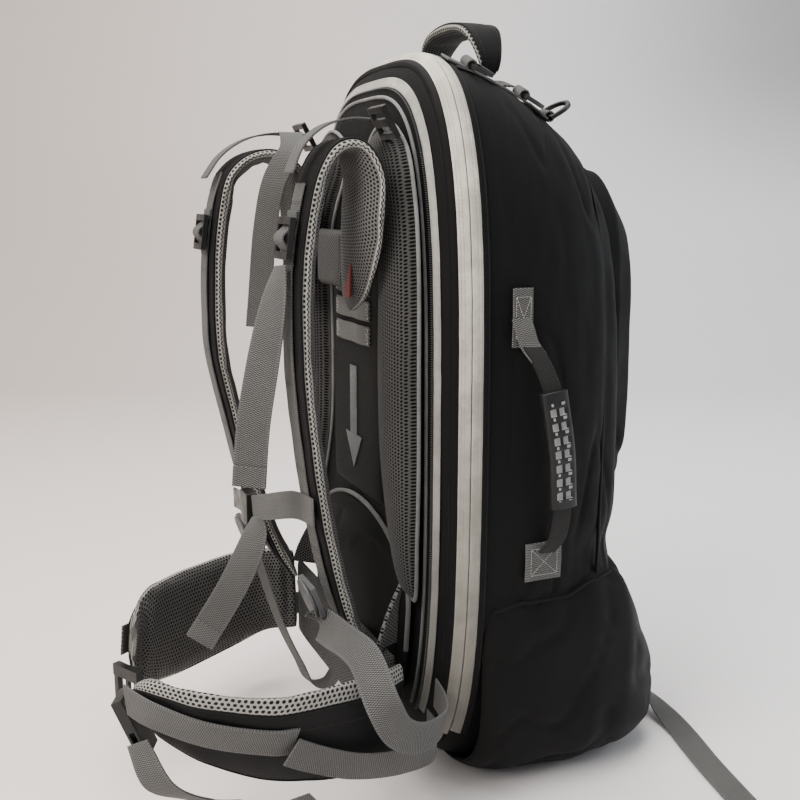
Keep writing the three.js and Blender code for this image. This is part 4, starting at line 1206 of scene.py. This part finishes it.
def add_harness_webbing():
    for side, word in SIDES:
        reach = reach_of(side)
        path = []
        for i, (x, y, z) in enumerate(LIFTER):
            free = 1 - i / (len(LIFTER) - 1)
            path.append((x * side, y - (reach + 8) * free, z))
        strap("load_lifter_webbing_" + word, path, None, 0.026, blend=(
            "back_section", "harness", mm(side * 110, -197, 634), mm(side * 105, -266 - reach, 600)),
            replaces=("load_lifter_" + word,))
    strap("load_lifter_tail_left", LEFT_TAIL, None, 0.024, LEFT_TAIL_ACROSS, tail=True,
          blend=("back_section", "harness", mm(-106, -200, 634), mm(-60, -214, 612)))
    strap("strap_tail", ((105, -275, 512), (108, -283, 480), (110, -294, 430), (110, -304, 375), (110, -309, 322)),
          "harness", 0.030, ((1, 0, 0), (.85, .5, 0), (.6, .8, 0), (.5, .86, 0), (.5, .86, 0)),
          replaces=("strap_tail_right",), tail=True)
    for side, word in SIDES:
        threaded = [(side * STRAP_X / MM, y - reach_of(side), z) for y, z in LOCK_THREAD]
        strap("strap_lock_webbing_" + word, threaded, "harness", 0.026, step=0.001)
    strap("sternum_band", ((134, -259, 299), (104, -259, 296), (84, -261, 293), (62, -264, 287), (30, -268, 277),
                           (0, -270, 268), (-30, -270, 259)), "harness", 0.026, (0, 0, 1),
          replaces=("sternum_webbing",))
    strap("sternum_tail", ((-8, -271.8, 257), (-2, -276, 240), (2, -298, 196), (5, -337, 139)), "harness", 0.030,
          ((1, 0, 0), (.8, .6, 0), (.45, .85, -.3), (.42, .8, -.4)), tail=True)
    strap("sternum_anchor", ((-66, -270, 256), (-84, -268, 252), (-104, -266, 247), (-130, -265, 243)),
          "sternum_plug_body", 0.022, (0, 0, 1))
    dress("sternum_buckle_socket", "plastic", 0.0016)
    dress("sternum_buckle_plug", "plastic", 0.0008)
    strap("lower_web_right", ((112, -250, 190), (146, -243, 188), (190, -234, 184), (222, -229, 154), (220, -214, 126),
                              (210, -188, 110), (194, -160, 110), (170, -150, 113), (148, -147, 115)), None, 0.030,
          ((1, .1, 0), (.7, .6, .3), (.3, .85, .35), (.1, .8, .6), (0, .6, .75), (0, .3, .95), (.2, .1, 1), (.3, 0, 1),
           (.35, 0, .94)), blend=("back_section", "harness", mm(190, -235, 184), mm(116, -249, 190)),
          replaces=("lower_webbing_right",))
    strap("lower_web_left", ((-105, -250, 188), (-99, -246, 170), (-93, -237, 135), (-92, -222, 90), (-95, -205, 52),
                             (-96, -190, 22), (-93, -172, 20), (-90, -157, 43)), None, 0.024, (1, .2, 0),
          blend=("back_section", "harness", mm(-95, -205, 52), mm(-100, -246, 175)), replaces=("lower_webbing_left",))


# ---------------------------------------------------------------- hip belt
# Each wing's plan (x, y) from its root to its tip, with its sideways lean, middle height and height at each point.
WINGS = {
    "right": dict(line=((156, -188), (176, -224), (192, -272), (196, -320), (180, -366), (150, -398), (118, -414)),
                  lean=(0, 0.1, 0.3, 0.42, 0.42, 0.36, 0.3), middle=(110, 115, 125, 133, 143, 150, 152),
                  height=(88, 92, 102, 100, 84, 60, 36)),
    "left": dict(line=((-156, -188), (-170, -222), (-160, -262), (-136, -304), (-106, -344), (-76, -374), (-48, -394)),
                 lean=(0, 0, 0.05, 0.08, 0.08, 0.05, 0), middle=(114, 113, 112, 112, 115, 121, 128),
                 height=(96, 104, 116, 118, 116, 104, 76)),
}
WING_THICK = 17
STABILISERS = {
    "right": ((212, -306, 124), (207, -284, 110), (202, -246, 92), (198, -205, 84), (184, -166, 80), (160, -152, 80),
              (133, -148, 78)),
    "left": ((-150, -306, 108), (-176, -264, 100), (-186, -222, 92), (-180, -180, 86), (-160, -156, 80),
             (-133, -148, 78)),
}
HIP_TAIL = ((148, -420, 124), (162, -406, 90), (148, -370, 60), (136, -344, 44), (128, -328, 22), (118, -306, 5),
            (108, -280, 2), (102, -250, 2))
HIP_TAIL_ACROSS = ((.8, .5, .3), (.6, .7, .2), (.5, .85, 0), (.45, .9, 0), (.45, .9, 0), (.8, .6, 0), (.95, .3, 0),
                   (.95, .2, 0))


def wing_stops(wing, side, proud, width=None):
    """Stops along a wing's plan, standing proud of its middle, as wide as the wing is high or as given."""
    line = np.array(wing["line"], float)
    along = unit(np.gradient(line, axis=0))
    out = np.stack([-along[:, 1], along[:, 0]], 1) * side
    stops = []
    for i, (x, y) in enumerate(line + out * proud):
        lean = (wing["lean"][i] * side, 0, 1)
        stops.append((mm(x, y, wing["middle"][i]), lean, (width or wing["height"][i]) * MM))
    return stops


def add_hip_belt():
    for side, word in SIDES:
        wing = WINGS[word]
        body = word + "_wing"
        pad_band("wing_pad_" + word, wing_stops(wing, side, 0), WING_THICK * MM, body, -side, "mesh_wing",
                 ("hip_wing_" + word,), ends=0.6, end_run=0.02, puff=5.0, lumps=0.0016,
                 roll_at=(0.62, 0.97), tip=0.036)
        web = wing_stops(wing, side, WING_THICK / 2 + 3.2, WEB / MM)[2:]
        # the webbing starts part of the way to the next point, under the stabiliser
        web[0] = tuple((0.4 * v3(*a) + 0.6 * v3(*b)) for a, b in zip(web[0][:2], web[1][:2])) + web[0][2:]
        settle(ribbon("wing_webbing_" + word, web, ripple=0.0008), body, "web", ("hip_webbing_" + word,))
        line = STABILISERS[word]
        strap("stabiliser_" + word, line, None, 0.026, (side * 0.15, 0, 1),
              blend=("back_section", body, mm(*line[4]), mm(*line[1])), replaces=("hip_stabiliser_" + word,))
    strap("hip_tail", HIP_TAIL, "right_wing", 0.030, HIP_TAIL_ACROSS, replaces=("hip_webbing_tail",), tail=True)
    dress("hip_buckle_socket", "plastic", 0.0022)
    dress("hip_buckle_plug", "plastic", 0.0010)


# ---------------------------------------------------------------- handles, rings and straps
def add_haul_handle():
    foot, y, thick, top = 61, -56, 11, 736
    base = top_height(foot, y) + 6
    crest = top - thick / 2
    half = [(foot, base, 14), (foot + 2, base + 14, 22), (foot - 14, crest - 9, 38), (0, crest, 40)]
    line = [(-x, z, w) for x, z, w in half] + [(x, z, w) for x, z, w in half[:3][::-1]]
    stops = [(mm(x, y, z), (0, 1, 0), w * MM) for x, z, w in line]
    pad_band("haul_grip_pad", stops, thick * MM, None, replaces=("haul_handle",), ends=0.5, end_run=0.015,
             blend=("bag", "haul_grip", mm(0, y, base), mm(0, y, crest - 8)))
    for side, word in SIDES:
        foot_web = [(side * x, y, top_height(x, y) + lift)
                    for x, lift in ((foot - 26, 1.6), (foot, 1.8), (foot + 24, 1.6))]
        strap("haul_foot_" + word, foot_web, "bag", WEB, (0, 1, 0))


SIDE_HANDLE = ((178, -78, 448), (190, -71, 434), (202, -62, 404), (206, -55, 352), (204, -50, 300), (194, -48, 268),
               (180, -50, 250))


def add_side_handle():
    strap("side_handle_webbing", SIDE_HANDLE, None, 0.018, (0, 1, 0), "web_black", thick=0.003,
          blend=("bag", "side_grip", mm(180, -60, 350), mm(202, -60, 350)), replaces=("side_handle_strap",))
    stops = [(mm(x + 1, y, z), (0, 1, 0), 0.026) for x, y, z in SIDE_HANDLE[2:5]]
    middle, across, out, _, run = band_frame(stops, 0.0009)
    cols = 72
    section = pad_section(cols, 3.4, 2.8)
    grid = middle[:, None] + section[None, :, :1] * (across * 0.013)[:, None] \
        + section[None, :, 1:2] * (out * 0.0055)[:, None]
    period, plain_end, slot_depth, stud_height = 0.0125, 0.008, 0.0024, 0.0007
    # The slots and studs take the pale grip material: painted highlights on the black grip.
    highlight_faces = np.zeros((len(run), cols), int)
    centre = grid.mean(1)
    for j in range(cols):
        edge = abs(section[j, 0])
        for i, u in enumerate(run):
            phase = (u / period) % 1.0
            inside = plain_end < u < run[-1] - plain_end
            slot = inside and 0.12 < phase < 0.62 and 0.22 < edge < 0.62
            stud = inside and 0.70 < phase < 0.92 and 0.30 < edge < 0.52
            step = -slot_depth if slot else (stud_height if stud else 0.0)
            grid[i, j] += unit(grid[i, j] - centre[i]) * step
            highlight_faces[i, j] = stud or slot
    uv = np.zeros((len(run), cols + 1, 2))
    grip = grid_object("side_grip_sleeve", grid, uv, ["rubber", "grip_painted_highlight"], wrap=True, caps=True,
                       pick=lambda i, j: int(highlight_faces[i, j]))
    settle(grip, "side_grip", "rubber", ("side_handle_grip",))
    patches = (("top", (174.6, -78, 466), 0.052, 0.020), ("bottom", (175.4, -51, 240), 0.036, 0.038))
    for word, (x, y, z), tall, wide in patches:
        points = [(x, y, z - tall / 2 / MM), (x + 0.8, y, z), (x, y, z + tall / 2 / MM)]
        strap("side_anchor_" + word, points, "bag", wide, (0, 1, 0), replaces=("side_handle_anchor_" + word,))
        box_stitch("side_anchor_stitch_" + word, mm(x + 2.1, y, z), (0, 0, 1), (1, 0, 0), tall * 0.7, wide * 0.72,
                   "bag")
    strap("side_anchor_twist", ((176, -80, 466), (181, -79, 456), (184, -76, 444), (191, -70, 432)), "bag", 0.019,
          ((0, 1, 0), (0, 1, 0.2), (0, 1, 0.1), (0, 1, 0)))


LASH_X = 86
RINGS = (("rear", LASH_X, -92), ("middle", LASH_X, -38), ("front", 70, -2))


def top_frame(x, y):
    """Place, across, down the slope and away from the fabric on the bag's top, in millimetres."""
    step = 4
    slope = (top_height(x, y + step) - top_height(x, y - step)) / (2 * step)
    fall = (top_height(x + step, y) - top_height(x - step, y)) / (2 * step)
    along = unit(v3(0, 1, slope))
    away = unit(np.cross(v3(1, 0, fall), along))
    return v3(x, y, top_height(x, y)) + away * 0.8, np.cross(along, away), along, away


def add_lash_rings():
    lift, radius, half_turn, width = 5.4, 4.5, 160, 0.020
    stops = []
    for y in (-105, -90, -72, -54, -38, -24, -10):
        at, across, _, away = top_frame(LASH_X, y)
        stops.append(((at + away) * MM, across, 0.022))
    settle(ribbon("lash_strip", stops), "bag", "web", ("lash_webbing",))
    for word, x, y in RINGS:
        at, across, along, away = top_frame(x, y)
        loop = []
        for a in np.radians(np.linspace(-half_turn, half_turn, 9)):
            place = at + away * (lift + radius * math.cos(a)) + along * radius * math.sin(a)
            loop.append((place * MM, across, width))
        tail = [((at + along * k + away * 1.3) * MM, across, width) for k in (-24, -12, -4)]
        settle(ribbon("lash_loop_" + word, loop, step=0.001), "bag", "web")
        settle(ribbon("lash_base_" + word, tail, step=0.001), "bag", "web")
        dress("lash_ring_" + word, "plastic", 0.0016, 4)


def add_compression_strap():
    strap("base_strap", ((60, 132, 78), (60, 133, 50), (64, 148, 30), (88, 158, 12), (128, 156, 3), (190, 140, 2),
                         (284, 120, 2)), "bag", 0.030,
          ((1, 0, 0), (1, 0, 0), (1, -.1, 0), (.7, -.7, 0), (.3, -.95, 0), (.2, -.98, 0), (.2, -.98, 0)),
          replaces=("compression_strap",), tail=True)


add_camera()
add_stage()
add_bag()
add_zips()
add_back()
add_harness()
add_hip_belt()
add_haul_handle()
add_side_handle()
add_lash_rings()
add_compression_strap()
add_gusset()

bpy.context.view_layer.update()
